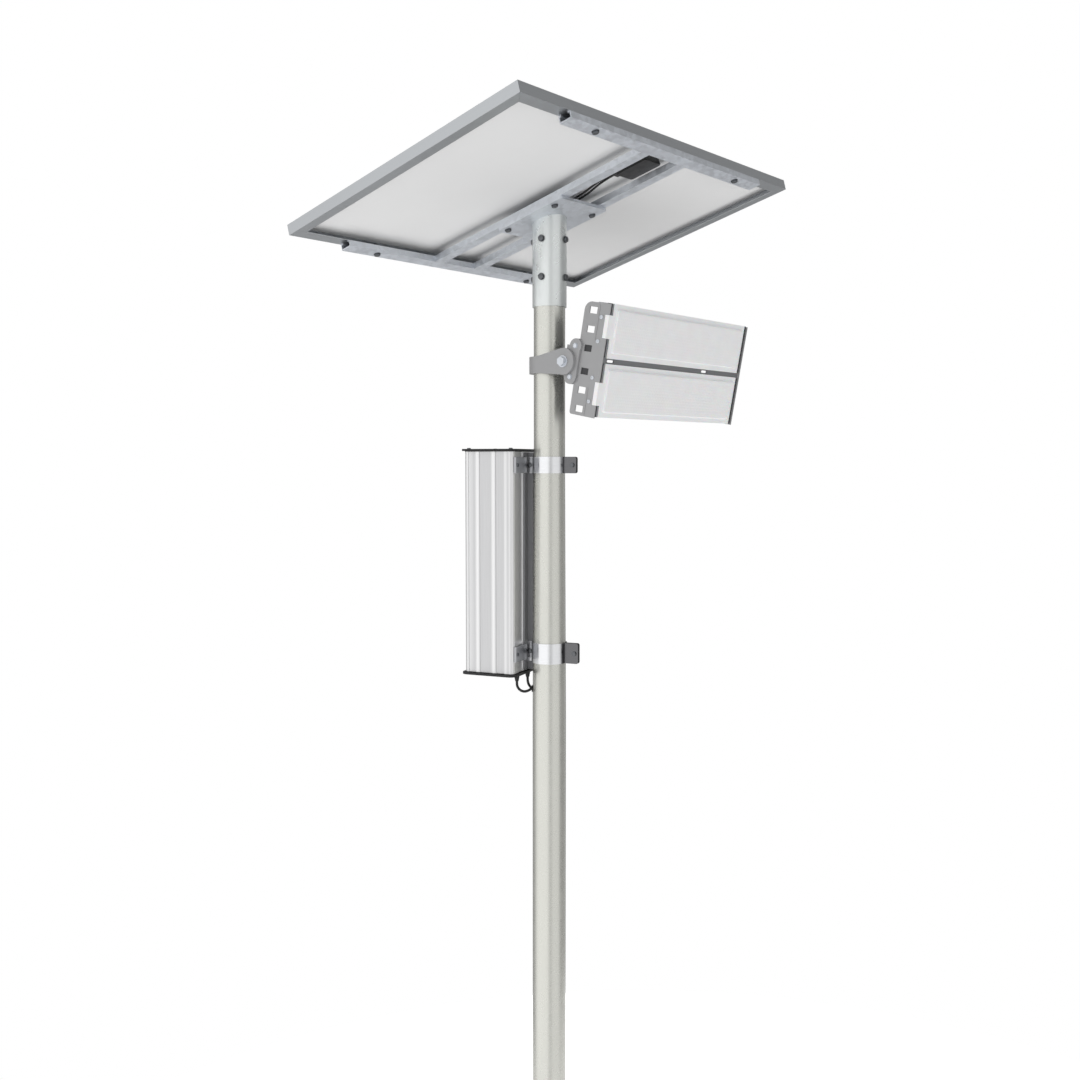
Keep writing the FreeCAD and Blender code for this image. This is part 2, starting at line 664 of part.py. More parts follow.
def channel(length):
    """Strut channel along x, open at the top, its lips at z = 0."""
    w = CHANNEL_W / 2
    t = CHANNEL_WALL
    profile = [(-w, -CHANNEL_H), (w, -CHANNEL_H), (w, 0), (w - CHANNEL_LIP, 0),
               (w - CHANNEL_LIP, -t), (w - t, -t), (w - t, t - CHANNEL_H),
               (t - w, t - CHANNEL_H), (t - w, -t), (CHANNEL_LIP - w, -t),
               (CHANNEL_LIP - w, 0), (-w, 0)]
    section = polygon([Vector(-length / 2, y, z) for y, z in profile])
    return section.extrude(Vector(length, 0, 0))


def cross_rail(y):
    shape = placed(channel(CROSS_RAIL_LENGTH),
                   Placement(Vector(CROSS_RAIL_X, y, 0), Rotation()))
    for x in (-FRAME_BOLT_HALF_SPACING, FRAME_BOLT_HALF_SPACING):
        place = Vector(CROSS_RAIL_X + x, y, -CHANNEL_H - 1)
        shape = shape.cut(rod(RAIL_BOLT_R + 0.2, place, Z_AXIS, 5))
    return placed(shape, PANEL_FRAME)


def long_rail(side):
    """A rail from one cross rail to the other, bolted to the head plate."""
    length = 2 * (CROSS_RAIL_Y - CHANNEL_W / 2)
    x = side * RAIL_HALF_SPACING
    shape = placed(channel(length), Placement(Vector(x, 0, 0), Rotation(Z_AXIS, 90)))
    for y in HEAD_BOLT_Y:
        shape = shape.cut(rod(RAIL_BOLT_R + 0.2, Vector(x, y, -CHANNEL_H - 1), Z_AXIS, 5))
    return placed(shape, PANEL_FRAME)


def head_bolt_places():
    return [Vector(side * RAIL_HALF_SPACING, y, 0) for side in (-1, 1) for y in HEAD_BOLT_Y]


def head_plate():
    plate = rounded_block(-HEAD_PLATE_W / 2, HEAD_PLATE_W / 2, *HEAD_PLATE_Y,
                          HEAD_DROP, -CHANNEL_H, 8, Z_AXIS)
    below = Vector(0, 0, HEAD_DROP - 1)
    holes = [rod(RAIL_BOLT_R + 0.2, place + below, Z_AXIS, HEAD_PLATE_THICK + 2)
             for place in head_bolt_places()]
    holes.append(rod(HEAD_HOLE_R, AXIS_IN_PANEL - Z_AXIS, Z_AXIS, HEAD_PLATE_THICK + 2))
    return placed(plate.cut(holes), PANEL_FRAME)


def head_sleeve():
    """The socket over the pole's top, cut to the slope of the head plate."""
    tall = PANEL_CENTRE.z - SLEEVE_LOW_Z
    tube = pipe(SLEEVE_R, SLEEVE_BORE_R, Vector(0, 0, SLEEVE_LOW_Z), Z_AXIS, tall)
    above = placed(block(-200, 200, -200, 200, HEAD_DROP, HEAD_DROP + 200), PANEL_FRAME)
    tube = tube.cut(above)
    for place, outward in set_bolt_places():
        tube = tube.cut(rod(4.0, place, outward, 60))
    return tube


def set_bolt_places():
    """Eight points on the pole's axis, each with the direction of its set bolt."""
    places = []
    for z in SET_BOLT_HEIGHTS:
        for quarter in range(4):
            outward = placed_point(1.0, SET_BOLT_TURN + 90 * quarter, 0)
            places.append((Vector(0, 0, z), outward))
    return places


def sleeve_set_bolts():
    seat = SLEEVE_R + 1.6
    tip = SLEEVE_BORE_R + 0.1
    return group(hex_bolt(place + outward * seat, outward * -1, 4.0, seat - tip)
                 for place, outward in set_bolt_places())


def head_bolts():
    """Bolts of the head plate and, longer, of the panel's frame."""
    pieces = [hex_bolt(place + Vector(0, 0, HEAD_DROP), Z_AXIS, RAIL_BOLT_R, 20)
              for place in head_bolt_places()]
    pieces += [hex_bolt(place + Vector(0, 0, -CHANNEL_H), Z_AXIS, RAIL_BOLT_R, 26)
               for place in frame_bolt_places()]
    return group(placed(piece, PANEL_FRAME) for piece in pieces)


def frame_bolt_places():
    return [Vector(CROSS_RAIL_X + sx * FRAME_BOLT_HALF_SPACING, sy * CROSS_RAIL_Y, 0)
            for sx in (-1, 1) for sy in (-1, 1)]


def head_nuts():
    pieces = [hex_nut(place + Vector(0, 0, CHANNEL_WALL - CHANNEL_H), Z_AXIS, RAIL_BOLT_R)
              for place in head_bolt_places()]
    pieces += [hex_nut(place + Vector(0, 0, FRAME_WALL), Z_AXIS, RAIL_BOLT_R)
               for place in frame_bolt_places()]
    return group(placed(piece, PANEL_FRAME) for piece in pieces)


def junction_box():
    """The box on the backsheet that the panel's leads come out of."""
    body = rounded_block(*JUNCTION_X, *JUNCTION_Y, JUNCTION_LOW, LAMINATE_LOW, 6, Z_AXIS)
    wall = JUNCTION_WALL
    hollow = rounded_block(JUNCTION_X[0] + wall, JUNCTION_X[1] - wall, JUNCTION_Y[0] + wall,
                           JUNCTION_Y[1] - wall, JUNCTION_LOW, LAMINATE_LOW - wall, 4, Z_AXIS)
    snout = rounded_block(JUNCTION_X[0] + 1, JUNCTION_X[0] + 27, JUNCTION_Y[1] - 2,
                          JUNCTION_Y[1] + 12, 4, LAMINATE_LOW - 2, 3, Y_AXIS)
    return placed(join([body.cut(hollow), snout]), PANEL_FRAME)


def junction_box_lid():
    lid = rounded_block(*JUNCTION_X, *JUNCTION_Y, JUNCTION_LOW - 3, JUNCTION_LOW, 6, Z_AXIS)
    return placed(lid, PANEL_FRAME)


def panel_lead(index):
    """A lead from the junction box to the hole in the head plate and down the pole."""
    start_x = LEAD_EXITS[index]
    hole = AXIS_IN_PANEL + Vector(-5.0 + 9.0 * index, 0, 0)
    bow = 5.0 * index
    route = [Vector(start_x, JUNCTION_Y[1] + 12, 10),
             Vector(start_x - 1, JUNCTION_Y[1] + 50, 9),
             Vector(start_x + bow, JUNCTION_Y[1] + 97, 1),
             Vector(start_x + 1 + bow, JUNCTION_Y[1] + 143, -2),
             Vector(hole.x - 2, hole.y - 38, -1),
             Vector(hole.x, hole.y - 11, -7),
             Vector(hole.x, hole.y + 2, -27),
             Vector(hole.x, hole.y - 1, -52)]
    name = ("panel_lead_left", "panel_lead_right")[index]
    return placed(cord_tube(name, route, LEAD_R), PANEL_FRAME)


# ---- Lamp arm -------------------------------------------------------------------------
def arm_leg():
    """The tapered leg from the hoop to the tilt axis, rounded at its end."""
    outer = -HOOP_R
    low = ARM_Z - HOOP_HEIGHT / 2
    high = ARM_Z + HOOP_HEIGHT / 2
    tip_y = PIVOT_Y + 8
    outline = polygon([Vector(outer, 0, low), Vector(outer, 0, high),
                       Vector(outer, tip_y, PIVOT_Z + ARM_END_R - 1),
                       Vector(outer, tip_y, PIVOT_Z - ARM_END_R + 1)])
    leg = outline.extrude(Vector(ARM_LEG_THICK, 0, 0))
    end = rod(ARM_END_R, Vector(outer, PIVOT_Y, PIVOT_Z), X_AXIS, ARM_LEG_THICK)
    return join([leg, end])


def heading_frame(degrees):
    return Placement(Vector(), Rotation(Z_AXIS, degrees))


def arm_hoop():
    """The hoop round the pole with its leg and the split ears of its clamp."""
    low = ARM_Z - HOOP_HEIGHT / 2
    ring = rod(HOOP_R, Vector(0, 0, low), Z_AXIS, HOOP_HEIGHT)
    ears = placed(block(30, EAR_REACH, -EAR_HALF_WIDTH, EAR_HALF_WIDTH, low + 3,
                        low + HOOP_HEIGHT - 3), heading_frame(EAR_HEADING))
    body = join([ring, ears, arm_leg()])
    bore = rod(HOOP_BORE_R, Vector(0, 0, low - 40), Z_AXIS, HOOP_HEIGHT + 80)
    split = placed(block(30, EAR_REACH + 4, -2, 2, low - 1, low + HOOP_HEIGHT + 1),
                   heading_frame(EAR_HEADING))
    clamp_hole = placed(rod(4.2, Vector(EAR_BOLT_REACH, -20, ARM_Z), Y_AXIS, 40),
                        heading_frame(EAR_HEADING))
    tilt_hole = rod(TILT_BOLT_R, Vector(-60, PIVOT_Y, PIVOT_Z), X_AXIS, 120)
    return body.cut([bore, split, clamp_hole, tilt_hole])


def arm_clamp_bolt():
    """The bolt and nut that close the hoop."""
    bolt = hex_bolt(Vector(EAR_BOLT_REACH, -EAR_HALF_WIDTH, ARM_Z), Y_AXIS, 4.0, 34)
    nut = hex_nut(Vector(EAR_BOLT_REACH, EAR_HALF_WIDTH, ARM_Z), Y_AXIS, 4.0)
    return group(placed(piece, heading_frame(EAR_HEADING)) for piece in (bolt, nut))


def tilt_bolt():
    """The bolt of the tilt axis, with a washer under its head and a nut at its end."""
    washer_start = Vector(-HOOP_R - TILT_WASHER_THICK, PIVOT_Y, PIVOT_Z)
    washer = pipe(TILT_WASHER_R, TILT_BOLT_R, washer_start, X_AXIS, TILT_WASHER_THICK)
    nut_seat = Vector(BRACKET_X + JOINT_GAP, PIVOT_Y, PIVOT_Z)
    nut_height = 1.2 * TILT_BOLT_R
    tip = nut_seat.x + nut_height + 2
    bolt = hex_bolt(washer_start, X_AXIS, TILT_BOLT_R, tip - washer_start.x)
    nut = hexagon(3 * TILT_BOLT_R, nut_seat, X_AXIS, nut_height)
    nut = nut.cut(rod(TILT_BOLT_R, nut_seat, X_AXIS, nut_height + 2))
    return group([bolt, washer, nut])


# ---- Lamp, in the lamp's frame: +y is behind the face and +z up along it ---------------
def lobed_plate(x, thickness, inner_y, outer_y, high):
    """A plate with two lobes, and a straight part from inner_y to outer_y and up to high."""
    pieces = [block(x, x + thickness, inner_y, outer_y, LOBES[1].z, high)]
    for lobe in LOBES:
        pieces.append(rod(LOBE_R, Vector(x, lobe.y, lobe.z), X_AXIS, thickness))
    return pieces


def lobe_holes():
    return [rod(LOBE_BOLT_R, Vector(-100, lobe.y, lobe.z), X_AXIS, 200) for lobe in LOBES]


def knuckle():
    """The outer casting: a boss on the tilt axis and two lobes behind the bracket."""
    x = BRACKET_X - KNUCKLE_THICK
    pivot = Vector(x, PIVOT_IN_LAMP.y, PIVOT_IN_LAMP.z)
    pieces = lobed_plate(x, KNUCKLE_THICK, 62, pivot.y, LOBES[0].z)
    pieces.append(rod(KNUCKLE_BOSS_R, pivot, X_AXIS, KNUCKLE_THICK))
    axle_hole = rod(TILT_BOLT_R + 0.05, pivot - X_AXIS * 10, X_AXIS, 60)
    return placed(join(pieces).cut(lobe_holes() + [axle_hole]), LAMP_FRAME)


def knuckle_plate():
    """The inner plate, behind the bracket's two middle holes."""
    pieces = lobed_plate(BRACKET_X + BRACKET_THICK, KNUCKLE_PLATE_THICK, 31, LOBES[1].y,
                         BRACKET_HOLES[3] + BRACKET_HOLE_H / 2 + 2)
    return placed(join(pieces).cut(lobe_holes()), LAMP_FRAME)


def knuckle_bolts():
    """Two bolts through the lobes, with their nuts."""
    pieces = []
    for lobe in LOBES:
        seat = Vector(BRACKET_X - KNUCKLE_THICK, lobe.y, lobe.z)
        grip = KNUCKLE_THICK + BRACKET_THICK + KNUCKLE_PLATE_THICK
        pieces.append(hex_bolt(seat, X_AXIS, LOBE_BOLT_R, grip + 7))
        pieces.append(hex_nut(seat + X_AXIS * grip, X_AXIS, LOBE_BOLT_R))
    return group(placed(piece, LAMP_FRAME) for piece in pieces)


def module_screw_heights():
    return [side * height for side in (-1, 1)
            for height in (MODULE_SCREW_INNER, MODULE_SCREW_OUTER)]


def bracket_plate(x):
    """An end plate of the lamp from x to x + its thickness, with its holes."""
    plate = block(x, x + BRACKET_THICK, BRACKET_FRONT, BRACKET_BACK,
                  BRACKET_LOW, BRACKET_HIGH)
    for radius, z in ((20, BRACKET_HIGH), (6, BRACKET_LOW)):
        corner = Vector(x + BRACKET_THICK / 2, BRACKET_BACK, z)
        edges = [e for e in plate.Edges if e.CenterOfMass.distanceToPoint(corner) < 0.1]
        plate = plate.makeFillet(radius, edges)
    half_w = BRACKET_HOLE_W / 2
    half_h = BRACKET_HOLE_H / 2
    holes = [block(x - 5, x + 9, BRACKET_HOLE_DEPTH - half_w, BRACKET_HOLE_DEPTH + half_w,
                   z - half_h, z + half_h) for z in BRACKET_HOLES]
    holes += [rod(MODULE_SCREW_R, Vector(x - 5, MODULE_SCREW_DEPTH, z), X_AXIS, 14)
              for z in module_screw_heights()]
    return plate.cut(holes)


def ridge(x, low, high):
    """A low rib pressed into a bracket's outer face."""
    return block(x, x + RIDGE_HEIGHT, *BRACKET_RIDGE, low, high)


def lamp_bracket_left():
    """The bracket on the arm's side, with a notch in its front edge for each lens tab."""
    x = BRACKET_X - RIDGE_HEIGHT
    knuckle_low = LOBES[1].z - LOBE_R - 1
    knuckle_high = LOBES[0].z + LOBE_R + 1
    pieces = [bracket_plate(BRACKET_X), ridge(x, knuckle_high, BRACKET_HIGH - 4),
              ridge(x, BRACKET_LOW + 4, knuckle_low)]
    notches = [block(BRACKET_X - 5, BRACKET_X + 9, BRACKET_FRONT - 1, BRACKET_NOTCH_DEPTH,
                     *sorted((side * BRACKET_NOTCH[0], side * BRACKET_NOTCH[1])))
               for side in (-1, 1)]
    return placed(join(pieces).cut(notches), LAMP_FRAME)


def lamp_bracket_right():
    x = RIGHT_BRACKET_X
    pieces = [bracket_plate(x), ridge(x + BRACKET_THICK, BRACKET_LOW + 4, BRACKET_HIGH - 4)]
    return placed(join(pieces), LAMP_FRAME)


def tie_bar():
    """The flat bar between the modules, from bracket to bracket, with two slots."""
    bar = block(BRACKET_X + BRACKET_THICK, RIGHT_BRACKET_X, 3, 6,
                -MODULE_LOW + 0.2, MODULE_LOW - 0.2)
    for x in TIE_SLOTS:
        slot = rounded_block(x - TIE_SLOT_HALF_LENGTH, x + TIE_SLOT_HALF_LENGTH, 0, 9,
                             -3, 3, 2.9, Y_AXIS)
        bar = bar.cut(slot)
    return placed(bar, LAMP_FRAME)


def module_span(side):
    """The lowest and highest z of a module: side is +1 for the upper one."""
    return sorted((side * MODULE_LOW, side * MODULE_HIGH))


def module_housing(side):
    """An extruded heat sink: a pocket for the LED board in front and fins behind."""
    low, high = module_span(side)
    middle = (low + high) / 2
    base = block(*HOUSING_X, 0, HOUSING_BASE, low, high)
    pocket = block(HOUSING_X[0] + POCKET_INSET, HOUSING_X[1] - POCKET_INSET, -1, POCKET_DEPTH,
                   low + POCKET_INSET, high - POCKET_INSET)
    fins = []
    for k in (-5, -4, -3, -2, -1, 1, 2, 3, 4, 5):
        z = middle + k * FIN_PITCH
        fins.append(block(*HOUSING_X, HOUSING_BASE, HOUSING_DEPTH,
                          z - FIN_THICK / 2, z + FIN_THICK / 2))
    return placed(join([base.cut(pocket)] + fins), LAMP_FRAME)


def lens_tab(side):
    """A tab that wraps a module's left end and sits in the bracket's notch."""
    low, high = sorted((side * BRACKET_NOTCH[0], side * BRACKET_NOTCH[1]))
    bridge = block(BRACKET_X, HOUSING_X[0], -1 - LENS_RIM_THICK, -1, low + TAB_GAP,
                   high - TAB_GAP)
    hook = block(BRACKET_X, LAMP_LEFT, -1, BRACKET_NOTCH_DEPTH - TAB_GAP, low + TAB_GAP,
                 high - TAB_GAP)
    return [bridge, hook]


def lens(side):
    """The frosted cover: a flat rim with a tab at its left end, and a raised middle."""
    low, high = module_span(side)
    rim = block(*HOUSING_X, -1 - LENS_RIM_THICK, -1, low, high)
    raised = rounded_block(HOUSING_X[0] + LENS_RIM, HOUSING_X[1] - LENS_RIM,
                           -1 - LENS_RIM_THICK - LENS_DOME, -1 - LENS_RIM_THICK,
                           low + LENS_RIM, high - LENS_RIM, 6, Y_AXIS)
    front = [e for e in raised.Edges
             if e.BoundBox.YMax < -LENS_RIM_THICK - LENS_DOME - 0.9]
    raised = raised.makeFillet(3, front)
    return placed(join([rim, raised] + lens_tab(side)), LAMP_FRAME)


def lens_gaskets():
    pieces = []
    for side in (-1, 1):
        low, high = module_span(side)
        ring = block(HOUSING_X[0] + 1, HOUSING_X[1] - 1, -1, 0, low + 1, high - 1)
        hole = block(HOUSING_X[0] + 11, HOUSING_X[1] - 11, -1, 0, low + 11, high - 11)
        pieces.append(placed(ring.cut(hole), LAMP_FRAME))
    return group(pieces)


def spread(low, high, count):
    """Evenly spaced places from low to high."""
    return [low + k * (high - low) / (count - 1) for k in range(count)]


def led_boards():
    """A board with its LEDs in each module's pocket."""
    pieces = []
    inset = POCKET_INSET + BOARD_GAP
    board_y = POCKET_DEPTH - BOARD_THICK
    half = LED_SIZE / 2
    for side in (-1, 1):
        low, high = module_span(side)
        board = block(HOUSING_X[0] + inset, HOUSING_X[1] - inset, board_y, POCKET_DEPTH,
                      low + inset, high - inset)
        chips = []
        for x in spread(HOUSING_X[0] + 2 * inset, HOUSING_X[1] - 2 * inset, LED_COLUMNS):
            for z in spread(low + 2 * inset, high - 2 * inset, LED_ROWS):
                chips.append(block(x - half, x + half, board_y - LED_THICK, board_y,
                                   z - half, z + half))
        pieces.append(placed(join([board] + chips), LAMP_FRAME))
    return group(pieces)


def end_spans(left):
    """An end's spans of x: its cap, and from the cap out to the bracket."""
    inner = HOUSING_X[0] if left else HOUSING_X[1]
    outer = LAMP_LEFT if left else LAMP_RIGHT
    reach = outer - PAD_REACH if left else outer + PAD_REACH
    return sorted((inner, outer)), sorted((outer, reach))


def module_end_caps():
    """The plates that close the two ends of each module."""
    pieces = []
    for side in (-1, 1):
        for left in (True, False):
            cap, _ = end_spans(left)
            cap_block = block(*cap, -1, HOUSING_DEPTH + 2, *module_span(side))
            pieces.append(placed(cap_block, LAMP_FRAME))
    return group(pieces)


def bracket_pads():
    """Dark pads between the end caps and the brackets, each with a lip beside the lens."""
    pieces = []
    for side in (-1, 1):
        for left in (True, False):
            _, span = end_spans(left)
            lips = LEFT_LIPS if left else RIGHT_LIPS
            for screw, lip in zip((MODULE_SCREW_INNER, MODULE_SCREW_OUTER), lips):
                lip_z = sorted((side * lip[0], side * lip[1]))
                boss_z = sorted((side * (screw - PAD_HALF_HEIGHT),
                                 side * (screw + PAD_HALF_HEIGHT)))
                pad = join([block(*span, 0, PAD_LIP_DEPTH, *lip_z),
                            block(*span, PAD_LIP_DEPTH, PAD_DEPTH, *boss_z)])
                hole = rod(MODULE_SCREW_R, Vector(span[0], MODULE_SCREW_DEPTH, side * screw),
                           X_AXIS, PAD_REACH)
                pieces.append(placed(pad.cut(hole), LAMP_FRAME))
    return group(pieces)


def module_screws():
    pieces = []
    for z in module_screw_heights():
        left = Vector(BRACKET_X, MODULE_SCREW_DEPTH, z)
        right = Vector(RIGHT_BRACKET_X + BRACKET_THICK, MODULE_SCREW_DEPTH, z)
        pieces.append(pan_screw(left, X_AXIS, MODULE_SCREW_R, 11))
        pieces.append(pan_screw(right, X_AXIS * -1, MODULE_SCREW_R, 11))
    return group(placed(piece, LAMP_FRAME) for piece in pieces)


def lamp_gland():
    """The cable gland in the bare strip between the upper module's fins."""
    middle = (MODULE_LOW + MODULE_HIGH) / 2
    foot = Vector(LAMP_LEFT + 60, HOUSING_BASE, middle)
    nut = hexagon(14, foot, Y_AXIS, 6)
    dome = Part.makeCone(6.5, 4.0, 12, foot + Vector(0, 6, 0), Y_AXIS)
    return placed(join([nut, dome]), LAMP_FRAME)


NODES = {
    "base_plate": base_plate,
    "base_gussets": base_gussets,
    "pole_lower_tube": pole_lower_tube,
    "pole_upper_tube": pole_upper_tube,
    "pole_grommets": pole_grommets,
    "box_shell": box_shell,
    "box_cap_top": box_cap_top,
    "box_cap_bottom": box_cap_bottom,
    "box_gaskets": box_gaskets,
    "box_screws": box_screws,
    "battery_cells": battery_cells,
    "cell_holders": cell_holders,
    "charge_controller": charge_controller,
    "box_rear_rail": box_rear_rail,
    "rail_clamp_plates": rail_clamp_plates,
    "straps_near": lambda: straps(1),
    "straps_far": lambda: straps(-1),
    "strap_bolts": strap_bolts,
    "box_glands": box_glands,
    "battery_cable_near": lambda: battery_cable(1),
    "battery_cable_far": lambda: battery_cable(-1),
    "head_sleeve": head_sleeve,
    "head_plate": head_plate,
    "sleeve_set_bolts": sleeve_set_bolts,
    "head_bolts": head_bolts,
    "head_nuts": head_nuts,
    "rail_left": lambda: long_rail(-1),
    "rail_right": lambda: long_rail(1),
    "cross_rail_high": lambda: cross_rail(-CROSS_RAIL_Y),
    "cross_rail_low": lambda: cross_rail(CROSS_RAIL_Y),
    "frame_high": frame_high,
    "frame_low": frame_low,
    "frame_left": lambda: frame_piece(270, PANEL_SHORT, PANEL_LONG / 2),
    "frame_right": lambda: frame_piece(90, PANEL_SHORT, PANEL_LONG / 2),
    "panel_glass": panel_glass,
    "cell_laminate": cell_laminate,
    "panel_backsheet": panel_backsheet,
    "junction_box": junction_box,
    "junction_box_lid": junction_box_lid,
    "panel_lead_left": lambda: panel_lead(0),
    "panel_lead_right": lambda: panel_lead(1),
    "arm_hoop": arm_hoop,
    "arm_clamp_bolt": arm_clamp_bolt,
    "tilt_bolt": tilt_bolt,
    "knuckle": knuckle,
    "knuckle_plate": knuckle_plate,
    "knuckle_bolts": knuckle_bolts,
    "lamp_bracket_left": lamp_bracket_left,
    "lamp_bracket_right": lamp_bracket_right,
    "tie_bar": tie_bar,
    "module_housing_upper": lambda: module_housing(1),
    "module_housing_lower": lambda: module_housing(-1),
    "lens_upper": lambda: lens(1),
    "lens_lower": lambda: lens(-1),
    "lens_gaskets": lens_gaskets,
    "led_boards": led_boards,
    "module_end_caps": module_end_caps,
    "bracket_pads": bracket_pads,
    "module_screws": module_screws,
    "lamp_gland": lamp_gland,
}

os.makedirs("parts", exist_ok=True)
for node, make in NODES.items():
    shape = make()
    shape.exportStep(os.path.join("parts", node + ".step"))
    print(node, "solids", len(shape.Solids), "volume", round(shape.Volume / 1000.0, 1),
          "cm3", "valid", shape.isValid())
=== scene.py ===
import json
import math

import bmesh
import bpy
from mathutils import Matrix, Vector

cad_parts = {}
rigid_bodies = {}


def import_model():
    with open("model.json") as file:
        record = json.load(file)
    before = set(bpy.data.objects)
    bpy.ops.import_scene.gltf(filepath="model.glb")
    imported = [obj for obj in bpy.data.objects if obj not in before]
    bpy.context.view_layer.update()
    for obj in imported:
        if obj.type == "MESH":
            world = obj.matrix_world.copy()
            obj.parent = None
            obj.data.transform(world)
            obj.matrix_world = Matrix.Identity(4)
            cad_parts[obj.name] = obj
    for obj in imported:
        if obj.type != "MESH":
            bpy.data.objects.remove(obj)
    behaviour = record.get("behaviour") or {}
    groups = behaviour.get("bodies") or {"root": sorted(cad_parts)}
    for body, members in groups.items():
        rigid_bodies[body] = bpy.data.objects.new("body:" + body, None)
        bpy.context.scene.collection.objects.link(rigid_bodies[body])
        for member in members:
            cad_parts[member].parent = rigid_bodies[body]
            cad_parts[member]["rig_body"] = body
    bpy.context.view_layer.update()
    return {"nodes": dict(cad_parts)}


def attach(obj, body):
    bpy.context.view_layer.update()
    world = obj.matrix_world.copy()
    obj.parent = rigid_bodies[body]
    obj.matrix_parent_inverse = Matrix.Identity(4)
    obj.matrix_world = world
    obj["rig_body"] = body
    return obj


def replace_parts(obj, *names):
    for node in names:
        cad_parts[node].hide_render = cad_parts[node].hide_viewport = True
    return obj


# Looks of the solar street lamp. Lengths are in metres, in the CAD model's frame:
# Z is up, X runs along the lamp, and the panel slopes down towards +Y.

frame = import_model()

# ---- Frames of the sub-assemblies, as in the part's source -----------------------------
BOX_HEADING = 106.6           # degrees from +X towards +Y, as all headings are
BOX_FRAME = Matrix.Rotation(math.radians(BOX_HEADING), 4, "Z")
PANEL_FRAME = (Matrix.Translation((0.005, -0.006, 3.8845))
               @ Matrix.Rotation(math.radians(-15.0), 4, "X"))
LAMP_FRAME = (Matrix.Translation((0.0, -0.1821, 3.5146))
              @ Matrix.Rotation(math.radians(10.7), 4, "X"))
EAR_FRAME = Matrix.Rotation(math.radians(60.0), 4, "Z")      # the arm hoop's split ears

# ---- Camera ---------------------------------------------------------------------------
CAMERA_PLACE = (-2.2613, -1.8428, 3.280)
CAMERA_HEADING = 39.63
CAMERA_PITCH = -3.73
CAMERA_LENS = 39.72           # millimetres, on the sensor's width
CAMERA_SENSOR = 36.0

# ---- Cords ----------------------------------------------------------------------------
BATTERY_CABLE = 0.0065        # diameters
PANEL_LEAD = 0.005
GLAND = (0.073, 0.033, 2.7405)            # where a battery cable leaves its gland
GROMMET_RADIUS = 0.0436                   # where it enters the pole
GROMMET_TURN = 23.0
GROMMET_Z = 2.722
CABLE_LOOP = ((0.0, -0.0055), (0.0007, -0.0121), (0.0041, -0.0188), (0.0104, -0.0241),
              (0.0177, -0.0262), (0.0253, -0.0251), (0.0320, -0.0216))
LEAD_EXIT_Y = -0.193                      # the junction box's snout, in the panel's frame
LEAD_EXITS = (-0.008, 0.002)
LEAD_BOW = 0.005                          # how far the right lead bows away from the left one
HEAD_HOLE = (-0.010, 0.0124)              # where the left lead goes down the head plate's hole
HOLE_SPREAD = 0.009                       # from there to the right lead

# ---- Pole and its foot weld -----------------------------------------------------------
POLE_FOOT_R = 0.04125
BASE_TOP = 0.016
WELD_SIZE = 0.006
WELD_BITE = 0.0002            # how far the bead goes into the tube
WELD_RIPPLES = 48
RIPPLE_POINTS = 8
WELD_SWELL = 0.12             # share of its size by which a ripple swells
# Reach out from the tube and height above the plate, as shares of the weld's size.
WELD_PROFILE = ((0.0, 1.0), (0.6, 0.85), (1.0, 0.45), (1.0, 0.0))

# ---- Battery box and straps -----------------------------------------------------------
# Distance out from the pole along the box's side, and how much painted highlight the box has
# there.
BOX_PAINTED_HIGHLIGHTS = ((0.058, 1.0), (0.068, 0.7), (0.073, 0.0), (0.080, 0.7), (0.086, 0.0),
              (0.104, 0.0), (0.112, 1.0), (0.120, 0.0), (0.146, 0.0), (0.155, 1.0),
              (0.163, 0.0), (0.192, 1.0))
STRAP_PAINTED_SHADE_END = -0.0400      # the straps are painted with shade behind this distance
STRAP_PAINTED_SHADE_BLEND = 0.001
CAP_SCREW_HEIGHTS = (2.78, 3.30)          # a cap's screws are below the first or above the second

# ---- Panel ----------------------------------------------------------------------------
PANEL_LONG = 1.045
PANEL_SHORT = 0.712
LAMINATE_LOW = 0.0194
CELL_COLUMNS = 9
CELL_ROWS = 4
CELL_GAP = 0.003
CELL_MARGIN = 0.026
CELL_BED = 0.0003             # thickness of the film under the cells
CELL_THICK = 0.0003
RIBBON_THICK = 0.0002
LAMINATE_INSET = 0.0024       # from the panel's outer edge
RIBBONS_PER_CELL = 4
RIBBON_HALF = 0.0008          # half of a ribbon's width
RIBBON_OVERHANG = 0.006       # past the end cells, to the ribbons that join two rows
JOINING_HALF = 0.0025         # half the width of a ribbon that joins two rows
JOINING_INSET = 0.01
FINGER_PITCH = 0.0022         # the printed lines on a cell
FINGER_WIDTH = 0.00018

# ---- Lamp -----------------------------------------------------------------------------
MODULE_SPAN = (0.0062, 0.1318)            # nearest and farthest from the lamp's middle line
LENS_X = (-0.0062, 0.5575)
LENS_FRONT = -0.0083
LENS_MARGIN = 0.016
LENS_END_MARGIN = 0.0035
PRISM_PITCH = 0.0072
PRISM_RISE = 0.0003
PRISM_SHARP = 5.0             # degrees: every edge of a prism is sharp

# ---- Fasteners, as shares of the shank's radius ----------------------------------------
BOLT_HEAD_HEIGHT = 1.3        # with its washer
BOLT_FLATS = 3.25
WASHER_THICK = 0.3
WASHER_REACHES = (1.85, 2.1, 1.5)         # at its foot, at its rim and under the head
THREAD_PITCH = 0.3
THREAD_DEPTH = 0.18
SOCKET_FLATS = 1.3
SOCKET_DEPTH = 0.7            # of the screw head's height
# Pan head: reach as a share of the head's, height as a share of the shank's radius.
PAN_HEAD = ((1.0, -1.0), (1.0, -0.45), (0.93, -0.18), (0.78, -0.04), (0.6, 0.0))
TURNED_SHARE = 0.475          # radius of a turned-off hexagon, as a share of its flats
TURNED_SLOPE = math.tan(math.radians(30.0))
HEXAGON_POINTS = 36
SAME_SIZE = 1e-5              # metres: sizes that differ by less are the same

